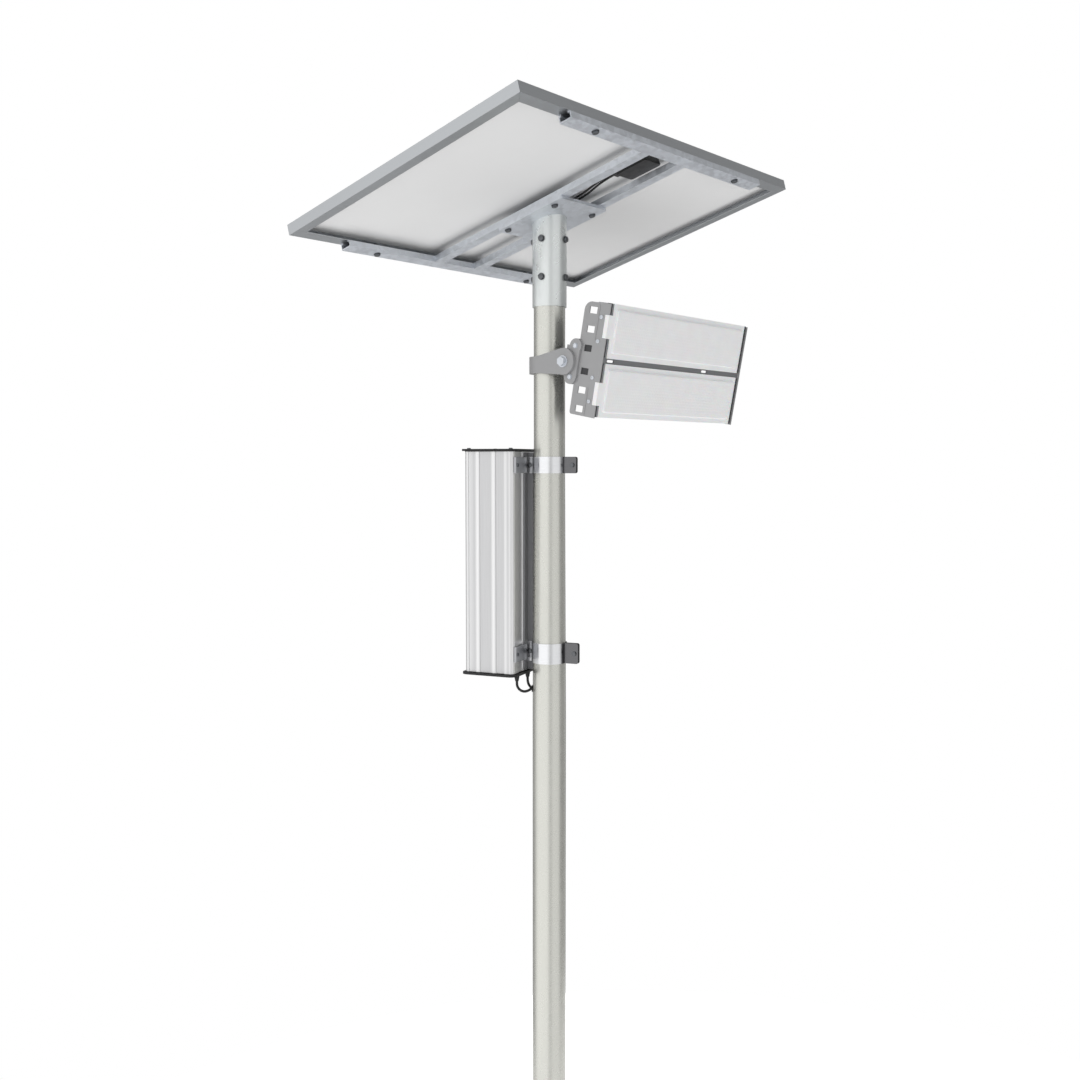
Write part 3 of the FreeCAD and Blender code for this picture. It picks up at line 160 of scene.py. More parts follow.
# ---- Edges ----------------------------------------------------------------------------
SAME_CORNER = 1e-6            # corners closer than this are one
FLAT_ANGLE = 0.5              # degrees: faces that meet at less are one face
SHARP_ANGLE = 35.0            # degrees: edges that bend more are sharp
# Radius and segments of each sub-part's rounded edges.
EDGES = {
    "base_plate": (0.0012, 3), "base_gussets": (0.0006, 2), "pole_grommets": (0.0005, 2),
    "box_shell": (0.0011, 3), "box_cap_top": (0.0008, 2), "box_cap_bottom": (0.0008, 2),
    "box_rear_rail": (0.0004, 2), "rail_clamp_plates": (0.0005, 2),
    "straps_near": (0.0004, 2), "straps_far": (0.0004, 2),
    "head_sleeve": (0.0005, 2), "head_plate": (0.0008, 2),
    "rail_left": (0.0009, 3), "rail_right": (0.0009, 3),
    "cross_rail_high": (0.0009, 3), "cross_rail_low": (0.0009, 3),
    "frame_high": (0.0004, 2), "frame_low": (0.0004, 2),
    "frame_left": (0.0004, 2), "frame_right": (0.0004, 2),
    "junction_box": (0.0008, 2), "junction_box_lid": (0.0010, 3),
    "arm_hoop": (0.0022, 3), "tilt_bolt": (0.0004, 2),
    "knuckle": (0.0014, 3), "knuckle_plate": (0.0008, 2),
    "lamp_bracket_left": (0.0005, 2), "lamp_bracket_right": (0.0005, 2),
    "tie_bar": (0.0004, 2), "module_end_caps": (0.0006, 2), "bracket_pads": (0.0005, 2),
    "module_housing_upper": (0.0004, 2), "module_housing_lower": (0.0004, 2),
    "lens_upper": (0.0004, 2), "lens_lower": (0.0004, 2),
    "box_glands": (0.0005, 2), "lamp_gland": (0.0005, 2),
}

# ---- Grain: the scale of a texture along each axis, with lines along the small ones -------
ALONG_X = (6.0, 1400.0, 1400.0)
ALONG_Z = (900.0, 900.0, 5.0)
ROUND_STRAP = (40.0, 40.0, 1500.0)
CREASES = (160.0, 160.0, 22.0)
FASTENER_GRAIN = (90.0, 90.0, 90.0)
RIBBON_GRAIN = (200.0, 200.0, 200.0)
WELD_GRAIN = (300.0, 300.0, 300.0)
FINE_LINES = 0.00001          # depth of the lines in drawn metal

# ---- Studio ---------------------------------------------------------------------------
WHITE = (1.0, 1.0, 1.0, 1.0)
FLOOR_RADIUS = 3.6
FLOOR_SIDES = 128
FLOOR_SHIFT = 0.9             # towards the lamp's far end
FLOOR_GLOW = 0.8
FLOOR_MIRRORED_GLOW = 0.15    # seen in metal, the floor is darker
# Brightness of the studio's walls by heading, in degrees.
WALLS = ((0, 0.42), (8, 0.26), (70, 0.26), (100, 0.36), (118, 0.8), (135, 1.06), (205, 1.06),
         (214, 0.9), (222, 0.55), (232, 0.55), (244, 0.82), (288, 0.78), (302, 0.3), (342, 0.28),
         (350, 0.5), (360, 0.42))
CEILING = 0.9
CEILING_FADE = (0.6, 0.9)     # how steep a view fades from the walls to the ceiling or ground


# ---- Camera and cords -----------------------------------------------------------------
def link(obj):
    bpy.context.scene.collection.objects.link(obj)
    return obj


def make_camera():
    data = bpy.data.cameras.new("camera")
    data.sensor_width = CAMERA_SENSOR
    data.lens = CAMERA_LENS
    camera = link(bpy.data.objects.new("camera", data))
    camera.location = CAMERA_PLACE
    camera.rotation_euler = (math.radians(90.0 + CAMERA_PITCH), 0.0,
                             math.radians(CAMERA_HEADING - 90.0))
    bpy.context.scene.camera = camera


def cord_curve(name, route, diameter):
    """A round cord along a smooth curve that the route's points pull on."""
    data = bpy.data.curves.new(name, "CURVE")
    data.dimensions = "3D"
    spline = data.splines.new("NURBS")
    spline.points.add(len(route) - 1)
    for point, place in zip(spline.points, route):
        point.co = (*place, 1.0)
        point.radius = diameter / 2
    spline.order_u = 3
    spline.use_endpoint_u = True
    data.bevel_depth = 1.0        # times each point's radius
    data.bevel_resolution = 4
    data.use_fill_caps = True
    return link(bpy.data.objects.new(name, data))


def battery_route(side):
    """From a gland under the box, in a loop, into the pole. side is 1 near and -1 far."""
    gland = Vector((GLAND[0], side * GLAND[1], GLAND[2]))
    turn = math.radians(side * GROMMET_TURN)
    entry = Vector((GROMMET_RADIUS * math.cos(turn), GROMMET_RADIUS * math.sin(turn), GROMMET_Z))
    towards = Vector((entry.x - gland.x, entry.y - gland.y, 0.0)).normalized()
    loop = [gland + towards * along + Vector((0, 0, drop)) for along, drop in CABLE_LOOP]
    return [BOX_FRAME @ point for point in [gland, *loop, entry]]


def lead_route(index):
    """From the junction box's snout over the head plate and down its hole."""
    start = LEAD_EXITS[index]
    bow = LEAD_BOW * index
    hole_x = HEAD_HOLE[0] + HOLE_SPREAD * index
    hole_y = HEAD_HOLE[1]
    route = [(start, LEAD_EXIT_Y, 0.010),
             (start - 0.001, LEAD_EXIT_Y + 0.038, 0.009),
             (start + bow, LEAD_EXIT_Y + 0.085, 0.001),
             (start + 0.001 + bow, LEAD_EXIT_Y + 0.131, -0.002),
             (hole_x - 0.002, hole_y - 0.038, -0.001),
             (hole_x, hole_y - 0.011, -0.007),
             (hole_x, hole_y + 0.002, -0.027),
             (hole_x, hole_y - 0.001, -0.052)]
    return [PANEL_FRAME @ Vector(point) for point in route]


def make_cords():
    made = []
    for node, side in (("battery_cable_near", 1), ("battery_cable_far", -1)):
        route = battery_route(side)
        cord = cord_curve(node + "_cord", route, BATTERY_CABLE)
        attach(cord, "pole")
        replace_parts(cord, node)
        made.append(cord)
    for node, index, length in (("panel_lead_left", 0, 0.2429), ("panel_lead_right", 1, 0.2441)):
        route = lead_route(index)
        cord = cord_curve(node + "_cord", route, PANEL_LEAD)
        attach(cord, "panel_head")
        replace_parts(cord, node)
        made.append(cord)
    return made


make_camera()
cords = make_cords()


# ---- Node trees -----------------------------------------------------------------------
def grey(level):
    return (level, level, level, 1.0)


def srgb(*levels):
    """A linear colour from display levels of 0 to 255."""
    linear = [level / 255 / 12.92 if level <= 10 else ((level / 255 + 0.055) / 1.055) ** 2.4
              for level in levels]
    return (*linear, 1.0)


def shaded(colour, share):
    return (colour[0] * share, colour[1] * share, colour[2] * share, 1.0)


class Nodes:
    """A node tree that is built by short calls."""

    def __init__(self, owner):
        owner.use_nodes = True
        self.nodes = owner.node_tree.nodes
        self.links = owner.node_tree.links

    def node(self, kind, feeds=(), **settings):
        """A new node. feeds gives its inputs, as values or as other nodes' outputs."""
        made = self.nodes.new(kind)
        for name, value in settings.items():
            setattr(made, name, value)
        for key, value in dict(feeds).items():
            self.feed(made.inputs[key], value)
        return made

    def feed(self, socket, value):
        if isinstance(value, bpy.types.NodeSocket):
            self.links.new(value, socket)
        else:
            socket.default_value = value

    def maths(self, operation, *values):
        return self.node("ShaderNodeMath", enumerate(values), operation=operation).outputs[0]

    def part(self, vector, axis):
        """One coordinate of a vector."""
        return self.node("ShaderNodeSeparateXYZ", {"Vector": vector}).outputs[axis]

    def between(self, factor, low, high, least=0.3, most=0.7):
        """A number that goes from low to high as factor goes from least to most."""
        return self.node("ShaderNodeMapRange", {"Value": factor, "From Min": least,
                                                "From Max": most, "To Min": low,
                                                "To Max": high}).outputs["Result"]

    def blend(self, factor, first, second):
        """A colour that goes from first to second as factor goes from 0 to 1."""
        return self.node("ShaderNodeMix", {0: factor, 6: first, 7: second},
                         data_type="RGBA").outputs[2]

    def steps(self, value, stops):
        """A level that follows pairs of place and level, with straight lines between."""
        least, most = stops[0][0], stops[-1][0]
        share = self.between(value, 0.0, 1.0, least, most)
        ramp = self.node("ShaderNodeValToRGB", {"Fac": share})
        elements = ramp.color_ramp.elements
        elements[0].color = grey(stops[0][1])
        elements[1].color = grey(stops[-1][1])
        for place, level in stops[1:-1]:
            elements.new((place - least) / (most - least)).color = grey(level)
        return ramp.outputs["Color"]


class Shader(Nodes):
    """A material with a Principled surface."""

    def __init__(self, name, **sockets):
        self.material = bpy.data.materials.new(name)
        super().__init__(self.material)
        self.surface = self.nodes["Principled BSDF"]
        for socket, value in sockets.items():
            self.surface.inputs[socket.replace("_", " ")].default_value = value
        self.place = self.node("ShaderNodeTexCoord").outputs["Object"]

    def grain(self, scales, detail=3.0):
        """Noise scaled along each axis, so that it runs in lines along one of them."""
        place = self.node("ShaderNodeMapping", {"Vector": self.place, "Scale": scales})
        return self.noise(1.0, detail, place.outputs["Vector"])

    def noise(self, scale, detail=3.0, place=None):
        return self.node("ShaderNodeTexNoise", {"Vector": place or self.place, "Scale": scale,
                                                "Detail": detail}).outputs["Fac"]

    def mottle(self, factor, colour, share):
        """A colour that a noise darkens in places, to a share of itself."""
        return self.blend(self.between(factor, 0.0, 1.0), shaded(colour, share), colour)

    def crystals(self, scale):
        """A level for each crystal of a cellular texture."""
        cells = self.node("ShaderNodeTexVoronoi", {"Vector": self.place, "Scale": scale})
        return self.node("ShaderNodeSeparateColor", {"Color": cells.outputs["Color"]}).outputs[0]

    def across_box(self):
        """Distance out from the pole towards the battery box."""
        turned = self.node("ShaderNodeVectorRotate",
                           {"Vector": self.place, "Angle": math.radians(-BOX_HEADING)},
                           rotation_type="Z_AXIS").outputs[0]
        return self.part(turned, "X")

    def bump(self, height, depth, below=None):
        """A surface normal from a height. below is a coarser bump under it."""
        feeds = {"Height": height, "Distance": depth, "Strength": 1.0}
        if below:
            feeds["Normal"] = below
        return self.node("ShaderNodeBump", feeds).outputs["Normal"]

    def drive(self, socket, value):
        self.feed(self.surface.inputs[socket], value)


# ---- Materials ------------------------------------------------------------------------
def powder_coat(name, colour, roughness, metallic=0.0, peel=0.00005):
    """Sprayed paint: a slight orange peel, a faint drift in tone, and fine dust."""
    shader = Shader(name, Metallic=metallic, IOR=1.5)
    drift = shader.noise(2.2, 2.0)
    dust = shader.noise(420.0, 2.0)
    tone = shader.mottle(drift, colour, 0.96)
    shader.drive("Base Color", shader.blend(shader.between(dust, 0.0, 0.05, 0.55, 0.75),
                                            tone, shaded(colour, 0.7)))
    shader.drive("Roughness", shader.between(shader.noise(35.0), roughness - 0.04,
                                             roughness + 0.05))
    coarse = shader.bump(shader.noise(260.0, 1.0), peel)
    shader.drive("Normal", shader.bump(shader.noise(900.0, 2.0), peel * 0.3, coarse))
    return shader.material


def drawn_metal(name, colour, roughness, scales, metallic=1.0):
    """Extruded or rolled metal: fine lines, and patches of a duller tone."""
    shader = Shader(name, Metallic=metallic)
    lines = shader.grain(scales)
    patches = shader.noise(9.0)
    tone = shader.mottle(lines, colour, 0.93)
    shader.drive("Base Color", shader.blend(shader.between(patches, 0.0, 0.5), tone,
                                            shaded(colour, 0.95)))
    shader.drive("Roughness", shader.between(lines, roughness - 0.05, roughness + 0.07))
    shader.drive("Normal", shader.bump(lines, FINE_LINES))
    return shader.material


def box_extrusion():
    """Bright extruded aluminium, with painted highlights on the lands between the flutes."""
    shader = Shader("bright_extrusion", Metallic=0.8)
    lines = shader.grain(ALONG_Z)
    # Painted highlights: the base colour is lighter on the lands between the flutes.
    painted_highlight = shader.steps(shader.across_box(), BOX_PAINTED_HIGHLIGHTS)
    tone = shader.blend(painted_highlight, srgb(200, 200, 201), srgb(250, 250, 250))
    shader.drive("Base Color", shader.blend(shader.between(lines, 0.0, 0.5), tone,
                                            srgb(224, 224, 225)))
    shader.drive("Roughness", shader.between(lines, 0.28, 0.36))
    shader.drive("Normal", shader.bump(lines, FINE_LINES))
    return shader.material


def strap_metal():
    """Bright stainless steel, with painted shade on the far ends that carry the bolts."""
    shader = Shader("stainless_strap", Metallic=1.0)
    lines = shader.grain(ROUND_STRAP)
    bright = shader.blend(shader.between(lines, 0.0, 1.0), srgb(236, 237, 239),
                          srgb(246, 247, 249))
    # Painted shade: on the far ends, away from the box, the strap is dark grey instead of bright
    # steel.
    unshaded_share = shader.between(shader.across_box(), 0.0, 1.0, STRAP_PAINTED_SHADE_END - STRAP_PAINTED_SHADE_BLEND,
                           STRAP_PAINTED_SHADE_END + STRAP_PAINTED_SHADE_BLEND)
    shader.drive("Base Color", shader.blend(unshaded_share, srgb(112, 112, 114), bright))
    shader.drive("Roughness", shader.between(lines, 0.18, 0.27))
    shader.drive("Normal", shader.bump(lines, FINE_LINES))
    return shader.material


def zinc(name, colour, roughness):
    """Galvanised steel: crystals of slightly different tone, and dull patches."""
    shader = Shader(name, Metallic=0.85)
    level = shader.crystals(95.0)
    cloud = shader.noise(14.0, 4.0)
    tone = shader.blend(level, shaded(colour, 0.90), shaded(colour, 1.06))
    shader.drive("Base Color", shader.blend(shader.between(cloud, 0.0, 0.6), tone,
                                            shaded(colour, 0.92)))
    shader.drive("Roughness", shader.between(level, roughness - 0.06, roughness + 0.08,
                                             0.0, 1.0))
    shader.drive("Normal", shader.bump(shader.noise(330.0), 0.00002))
    return shader.material


def moulded(name, colour, roughness, grain=700.0, depth=0.00004):
    """Moulded plastic or rubber with a fine spark-eroded grain."""
    shader = Shader(name, IOR=1.46)
    grains = shader.noise(grain)
    scuffs = shader.noise(60.0, 5.0)
    shader.drive("Base Color", shader.blend(shader.between(scuffs, 0.0, 1.0, 0.45, 0.8),
                                            colour, shaded(colour, 1.35)))
    shader.drive("Roughness", shader.between(scuffs, roughness - 0.05, roughness + 0.10))
    shader.drive("Normal", shader.bump(grains, depth))
    return shader.material


def backsheet_film():
    """White laminate film with a faint ripple over the cells behind it."""
    shader = Shader("backsheet_film", IOR=1.45, Specular_IOR_Level=0.35)
    colour = srgb(226, 226, 226)
    shader.drive("Base Color", shader.mottle(shader.noise(3.0, 2.0), colour, 0.97))
    shader.drive("Roughness", shader.between(shader.noise(18.0), 0.42, 0.55))
    ripple = shader.bump(shader.noise(26.0, 2.0), 0.00020)
    shader.drive("Normal", shader.bump(shader.noise(700.0, 2.0), 0.00002, ripple))
    return shader.material


def frosted_plastic():
    """The lamps' diffuser: milky, with a soft sheen and a fine grain."""
    shader = Shader("frosted_plastic", IOR=1.49, Subsurface_Weight=0.15, Subsurface_Scale=0.004)
    colour = srgb(248, 248, 249)
    shader.drive("Base Color", shader.mottle(shader.noise(30.0), colour, 0.97))
    shader.drive("Roughness", shader.between(shader.noise(120.0), 0.38, 0.50))
    shader.drive("Normal", shader.bump(shader.noise(1500.0), 0.00003))
    return shader.material


def silicon():
    """Polycrystalline cells: blue grains of many tones under fine printed fingers."""
    shader = Shader("silicon", Metallic=0.35, IOR=2.0, Coat_Weight=0.6, Coat_Roughness=0.08)
    level = shader.crystals(75.0)
    tone = shader.blend(level, srgb(16, 26, 62), srgb(30, 48, 104))
    phase = shader.maths("WRAP", shader.part(shader.place, "X"), FINGER_PITCH, 0.0)
    finger = shader.maths("LESS_THAN", phase, FINGER_WIDTH)
    shader.drive("Base Color", shader.blend(finger, tone, srgb(120, 128, 150)))
    shader.drive("Roughness", shader.between(level, 0.22, 0.36, 0.0, 1.0))
    return shader.material


def clear_glass():
    """Low-iron panel glass. Light falls straight through it onto the cells."""
    shader = Shader("clear_glass", IOR=1.45, Transmission_Weight=1.0, Roughness=0.03)
    shader.drive("Normal", shader.bump(shader.noise(380.0, 2.0), 0.00001))
    clear = shader.node("ShaderNodeBsdfTransparent").outputs[0]
    shadow = shader.node("ShaderNodeLightPath").outputs["Is Shadow Ray"]
    mix = shader.node("ShaderNodeMixShader", {0: shadow, 1: shader.surface.outputs[0], 2: clear})
    shader.feed(shader.nodes["Material Output"].inputs["Surface"], mix.outputs[0])
    return shader.material


def circuit_board():
    """White solder mask with faint tracks under it."""
    shader = Shader("circuit_board", IOR=1.5)
    colour = srgb(225, 226, 222)
    tracks = shader.node("ShaderNodeTexBrick", {
        "Vector": shader.place, "Scale": 22.0, "Mortar Size": 0.02}).outputs["Fac"]
    shader.drive("Base Color", shader.blend(tracks, colour, shaded(colour, 0.8)))
    shader.drive("Roughness", shader.between(shader.noise(90.0), 0.30, 0.42))
    return shader.material


def shrink_wrap():
    """Blue film round the battery cells, creased where it was shrunk."""
    shader = Shader("shrink_wrap", IOR=1.5)
    colour = srgb(40, 84, 150)
    creases = shader.grain(CREASES, 4.0)
    # Painted shade: the film is darker in the hollows of the creases.
    shader.drive("Base Color", shader.mottle(creases, colour, 0.85))
    shader.drive("Roughness", shader.between(creases, 0.25, 0.40))
    shader.drive("Normal", shader.bump(creases, 0.0001))
    return shader.material


FINISHES = {
    "pole_paint": powder_coat("pole_coat", srgb(219, 219, 212), 0.27, 0.8, 0.000004),
    "head_paint": powder_coat("head_coat", srgb(233, 237, 236), 0.30, 0.7, 0.000004),
    "lamp_paint": powder_coat("lamp_coat", srgb(165, 165, 166), 0.46, 0.15, 0.00008),
    "rail_zinc": zinc("zinc_plate", srgb(220, 224, 230), 0.44),
    "frame_aluminium": drawn_metal("anodised_frame", srgb(194, 197, 200), 0.36, ALONG_X),
    "box_aluminium": box_extrusion(),
    "lamp_aluminium": drawn_metal("heat_sink", srgb(180, 181, 184), 0.42, ALONG_X),
    "strap_steel": strap_metal(),
    "bolt_steel": drawn_metal("fastener_zinc", srgb(112, 114, 117), 0.36, FASTENER_GRAIN),
    "black_plastic": moulded("black_plastic_grain", srgb(26, 26, 27), 0.42),
    "cap_dark": powder_coat("dark_coat", srgb(60, 60, 62), 0.45),
    "black_rubber": moulded("black_rubber_grain", srgb(20, 20, 20), 0.62, 420.0, 0.00006),
    "cable_sheath": moulded("cable_sheath_grain", srgb(22, 22, 23), 0.48, 520.0, 0.00003),
    "cell_wrap": shrink_wrap(),
    "board": circuit_board(),
    "backsheet": backsheet_film(),
    "solar_cells": silicon(),
    "panel_glass": clear_glass(),
    "frosted_lens": frosted_plastic(),
}
RIBBON = drawn_metal("tinned_ribbon", srgb(205, 208, 212), 0.3, RIBBON_GRAIN)
# Painted shade: a dark grey for the rail in the shaded recess behind the box.
RAIL_SHADE_COAT = powder_coat("rail_painted_shade_coat", srgb(128, 128, 131), 0.4)
WELD = drawn_metal("weld_bead", srgb(205, 206, 202), 0.42, WELD_GRAIN, 0.5)
# The box's rear rail is a lighter grey than the other parts of its slot, but still dark grey as
# painted shade, for the recess between the box and the pole.
OWN_FINISHES = {"box_rear_rail": RAIL_SHADE_COAT}


# ---- Mesh helpers ---------------------------------------------------------------------
NODE_SLOTS = {name: node.material_slots[0].material.name
              for name, node in frame["nodes"].items()}


def piece_from(shape, name, body, slot, material=None, sharp=SHARP_ANGLE):
    """An object from a bmesh, smooth but for its sharp edges, riding on a body."""
    mesh = bpy.data.meshes.new(name)
    bmesh.ops.recalc_face_normals(shape, faces=shape.faces)
    shape.to_mesh(mesh)
    shape.free()
    mesh.shade_smooth()
    mesh.set_sharp_from_angle(angle=math.radians(sharp))
    mesh.materials.append(material or FINISHES[slot])
    piece = link(bpy.data.objects.new(name, mesh))
    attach(piece, body)
    return piece


def joined_shape(node):
    """A CAD node's shape with its split corners joined."""
    shape = bmesh.new()
    shape.from_mesh(frame["nodes"][node].data)
    bmesh.ops.remove_doubles(shape, verts=shape.verts, dist=SAME_CORNER)
    return shape


def whole_faced_shape(node):
    """A CAD node's joined shape with its flat faces whole."""
    shape = joined_shape(node)
    bmesh.ops.dissolve_limit(shape, angle_limit=math.radians(FLAT_ANGLE), verts=shape.verts,
                             edges=shape.edges)
    shape.verts.index_update()
    places = [v.co.copy() for v in shape.verts]
    faces = [[v.index for v in face.verts] for face in shape.faces]
    shape.free()
    clean = bmesh.new()
    corners = [clean.verts.new(place) for place in places]
    for face in faces:
        clean.faces.new([corners[i] for i in face])
    return clean


def dress(node, radius, segments):
    """A CAD node's shape with its sharp edges rounded, standing for the node."""
    body = frame["nodes"][node]["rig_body"]
    piece = piece_from(whole_faced_shape(node), node + "_finished", body, NODE_SLOTS[node],
                       OWN_FINISHES.get(node))
    bevel = piece.modifiers.new("edges", "BEVEL")
    bevel.width = radius
    bevel.segments = segments
    bevel.limit_method = "ANGLE"
    bevel.angle_limit = math.radians(SHARP_ANGLE)
    piece.modifiers.new("normals", "WEIGHTED_NORMAL")
    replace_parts(piece, node)


def ring(shape, frame_at, radii, height):
    """A closed ring of corners, one for each radius, at a height on a frame's z axis."""
    count = len(radii)
    corners = []
    for k, radius in enumerate(radii):
        angle = 2 * math.pi * k / count
        place = Vector((radius * math.cos(angle), radius * math.sin(angle), height))
        corners.append(shape.verts.new(frame_at @ place))
    return corners


def skin(shape, rings):
    """Faces between neighbouring rings, with caps at the two ends."""
    for first, second in zip(rings, rings[1:]):
        for k in range(len(first)):
            after = (k + 1) % len(first)
            shape.faces.new((first[k], first[after], second[after], second[k]))
    shape.faces.new(reversed(rings[0]))
    shape.faces.new(rings[-1])


def lathe(shape, frame_at, outline, count=24):
    """A turned shape from pairs of radius and height."""
    skin(shape, [ring(shape, frame_at, [radius] * count, height)
                 for radius, height in outline])


def hexagon_radii(flats):
    """A hexagon's radius at evenly spaced angles; flats is its width across flats."""
    side = math.pi / 3
    return [flats / 2 / math.cos((2 * math.pi * k / HEXAGON_POINTS) % side - side / 2)
            for k in range(HEXAGON_POINTS)]


def hexagon_block(shape, frame_at, flats, low, high, both_ends=False):
    """A hexagon whose corners are turned off at its top, and for a nut at its foot."""
    radii = hexagon_radii(flats)
    turned = TURNED_SHARE * flats
    drops = [TURNED_SLOPE * max(0.0, radius - turned) for radius in radii]

    def contour(height, sign):
        corners = ring(shape, frame_at, radii, height)
        axis = frame_at.to_3x3() @ Vector((0, 0, 1))
        for corner, drop in zip(corners, drops):
            corner.co += axis * (sign * drop)
        return corners

    rings = []
    if both_ends:
        rings.append(ring(shape, frame_at, [turned] * len(radii), low))
        rings.append(contour(low, 1))
    else:
        rings.append(ring(shape, frame_at, radii, low))
    rings.append(contour(high, -1))
    rings.append(ring(shape, frame_at, [turned] * len(radii), high))
    skin(shape, rings)


def thread_outline(radius, start, end):
    """Radii and heights of a thread from start to end, chamfered at its end."""
    pitch = THREAD_PITCH * radius
    depth = THREAD_DEPTH * radius
    outline = [(radius, start)]
    height = start
    while height + 1.5 * pitch < end:
        outline.append((radius - depth, height + pitch / 2))
        outline.append((radius, height + pitch))
        height += pitch
    outline.append((radius - depth, end))
    return outline


# ---- Fasteners ------------------------------------------------------------------------
def loose_parts(node):
    """The corners of each loose part of a CAD node."""
    shape = joined_shape(node)
    seen = set()
    parts = []
    for first in shape.verts:
        if first in seen:
            continue
        seen.add(first)
        queue = [first]
        part = []
        while queue:
            corner = queue.pop()
            part.append(corner.co.copy())
            for edge in corner.link_edges:
                other = edge.other_vert(corner)
                if other not in seen:
                    seen.add(other)
                    queue.append(other)
        parts.append(part)
    shape.free()
    return parts


class Fastener:
    """Where a CAD bolt, nut or screw is: its frame has z out of the head."""

    def __init__(self, corners, axis):
        middle = sum(corners, Vector()) / len(corners)
        heights = [(c - middle).dot(axis) for c in corners]
        reaches = [((c - middle) - axis * h).length for c, h in zip(corners, heights)]
        low, high = min(heights), max(heights)
        low_reach = max(r for h, r in zip(heights, reaches) if h < low + SAME_SIZE)
        high_reach = max(r for h, r in zip(heights, reaches) if h > high - SAME_SIZE)
        if low_reach > high_reach + SAME_SIZE:
            axis = -axis
            low, high = -high, -low
        self.is_nut = abs(low_reach - high_reach) < SAME_SIZE
        self.reach = max(reaches)
        self.radius = min(low_reach, high_reach)
        self.length = high - low
        corner = corners[reaches.index(self.reach)] - middle
        side = (corner - axis * corner.dot(axis)).normalized()
        turned = Matrix((side, axis.cross(side), axis)).transposed().to_4x4()
        self.frame = Matrix.Translation(middle + axis * high) @ turned


def draw_bolt(shape, bolt):
    """A bolt's washer, chamfered head and threaded shank."""
    height = BOLT_HEAD_HEIGHT * bolt.radius
    washer_top = WASHER_THICK * bolt.radius - height
    foot, rim, under_head = [share * bolt.radius for share in WASHER_REACHES]
    lathe(shape, bolt.frame, [(foot, -height), (rim, -height), (rim, washer_top),
                              (under_head, washer_top)])
    hexagon_block(shape, bolt.frame, BOLT_FLATS * bolt.radius, washer_top, 0.0)
    turned_over = bolt.frame @ Matrix.Rotation(math.pi, 4, "X")
    lathe(shape, turned_over, thread_outline(bolt.radius, height, bolt.length), 18)


def draw_nut(shape, nut):
    """A nut, chamfered at both ends."""
    flats = 2 * nut.reach * math.cos(math.pi / 6)
    hexagon_block(shape, nut.frame, flats, -nut.length, 0.0, both_ends=True)


def draw_screw(shape, screw):
    """A pan head with a hexagon socket, and its shank."""
    height = screw.radius
    socket = hexagon_radii(SOCKET_FLATS * screw.radius)
    rings = [ring(shape, screw.frame, [reach * screw.reach] * len(socket), level * height)
             for reach, level in PAN_HEAD]
    rings += [ring(shape, screw.frame, socket, level) for level in (0.0, -SOCKET_DEPTH * height)]
    skin(shape, rings)
    turned_over = screw.frame @ Matrix.Rotation(math.pi, 4, "X")
    lathe(shape, turned_over, [(screw.radius, height), (screw.radius, screw.length)], 16)


def draw_hex_hardware(shape, part):
    if part.is_nut:
        draw_nut(shape, part)
    else:
        draw_bolt(shape, part)


def axis_of(matrix, index):
    """A frame's x, y or z axis, as index is 0, 1 or 2."""
    return matrix.to_3x3().col[index].normalized()


def towards_pole(corners):
    """The way from the pole's axis through a bolt that points at it."""
    middle = sum(corners, Vector()) / len(corners)
    return Vector((middle.x, middle.y, 0.0)).normalized()


def box_screw_axis(corners):
    """Cap screws stand upright, and the clamp plates' screws point at the box."""
    heights = [c.z for c in corners]
    below, above = CAP_SCREW_HEIGHTS
    upright = max(heights) < below or min(heights) > above
    return Vector((0, 0, 1)) if upright else axis_of(BOX_FRAME, 0)


def fixed_axis(axis):
    """The same direction for each part of a node."""
    return lambda corners: axis


ALONG_LAMP = Vector((1, 0, 0))
# How each fastener node is drawn, and which way its parts point.
HARDWARE = {
    "strap_bolts": (draw_hex_hardware, fixed_axis(axis_of(BOX_FRAME, 1))),
    "sleeve_set_bolts": (draw_hex_hardware, towards_pole),
    "head_bolts": (draw_hex_hardware, fixed_axis(axis_of(PANEL_FRAME, 2))),
    "head_nuts": (draw_hex_hardware, fixed_axis(axis_of(PANEL_FRAME, 2))),
    "arm_clamp_bolt": (draw_hex_hardware, fixed_axis(axis_of(EAR_FRAME, 1))),
    "knuckle_bolts": (draw_hex_hardware, fixed_axis(ALONG_LAMP)),
    "module_screws": (draw_screw, fixed_axis(ALONG_LAMP)),
    "box_screws": (draw_screw, box_screw_axis),
}


def make_hardware():
    for node, (draw, direction) in HARDWARE.items():
        shape = bmesh.new()
        for corners in loose_parts(node):
            draw(shape, Fastener(corners, direction(corners)))
        body = frame["nodes"][node]["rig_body"]
        piece = piece_from(shape, node + "_turned", body, NODE_SLOTS[node])
        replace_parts(piece, node)


# ---- Weld -----------------------------------------------------------------------------
def make_weld():
    """The rippled bead round the pole's foot."""
    count = RIPPLE_POINTS * WELD_RIPPLES
    swell = [1.0 + WELD_SWELL * math.sin(2 * math.pi * WELD_RIPPLES * k / count)
             for k in range(count)]
    shape = bmesh.new()
    rings = []
    for reach, lift in WELD_PROFILE:
        radii = [POLE_FOOT_R - WELD_BITE + reach * WELD_SIZE * share for share in swell]
        rings.append(ring(shape, Matrix.Identity(4), radii, BASE_TOP + lift * WELD_SIZE))
    skin(shape, rings)
    piece_from(shape, "weld_bead", "pole", "pole_paint", WELD)


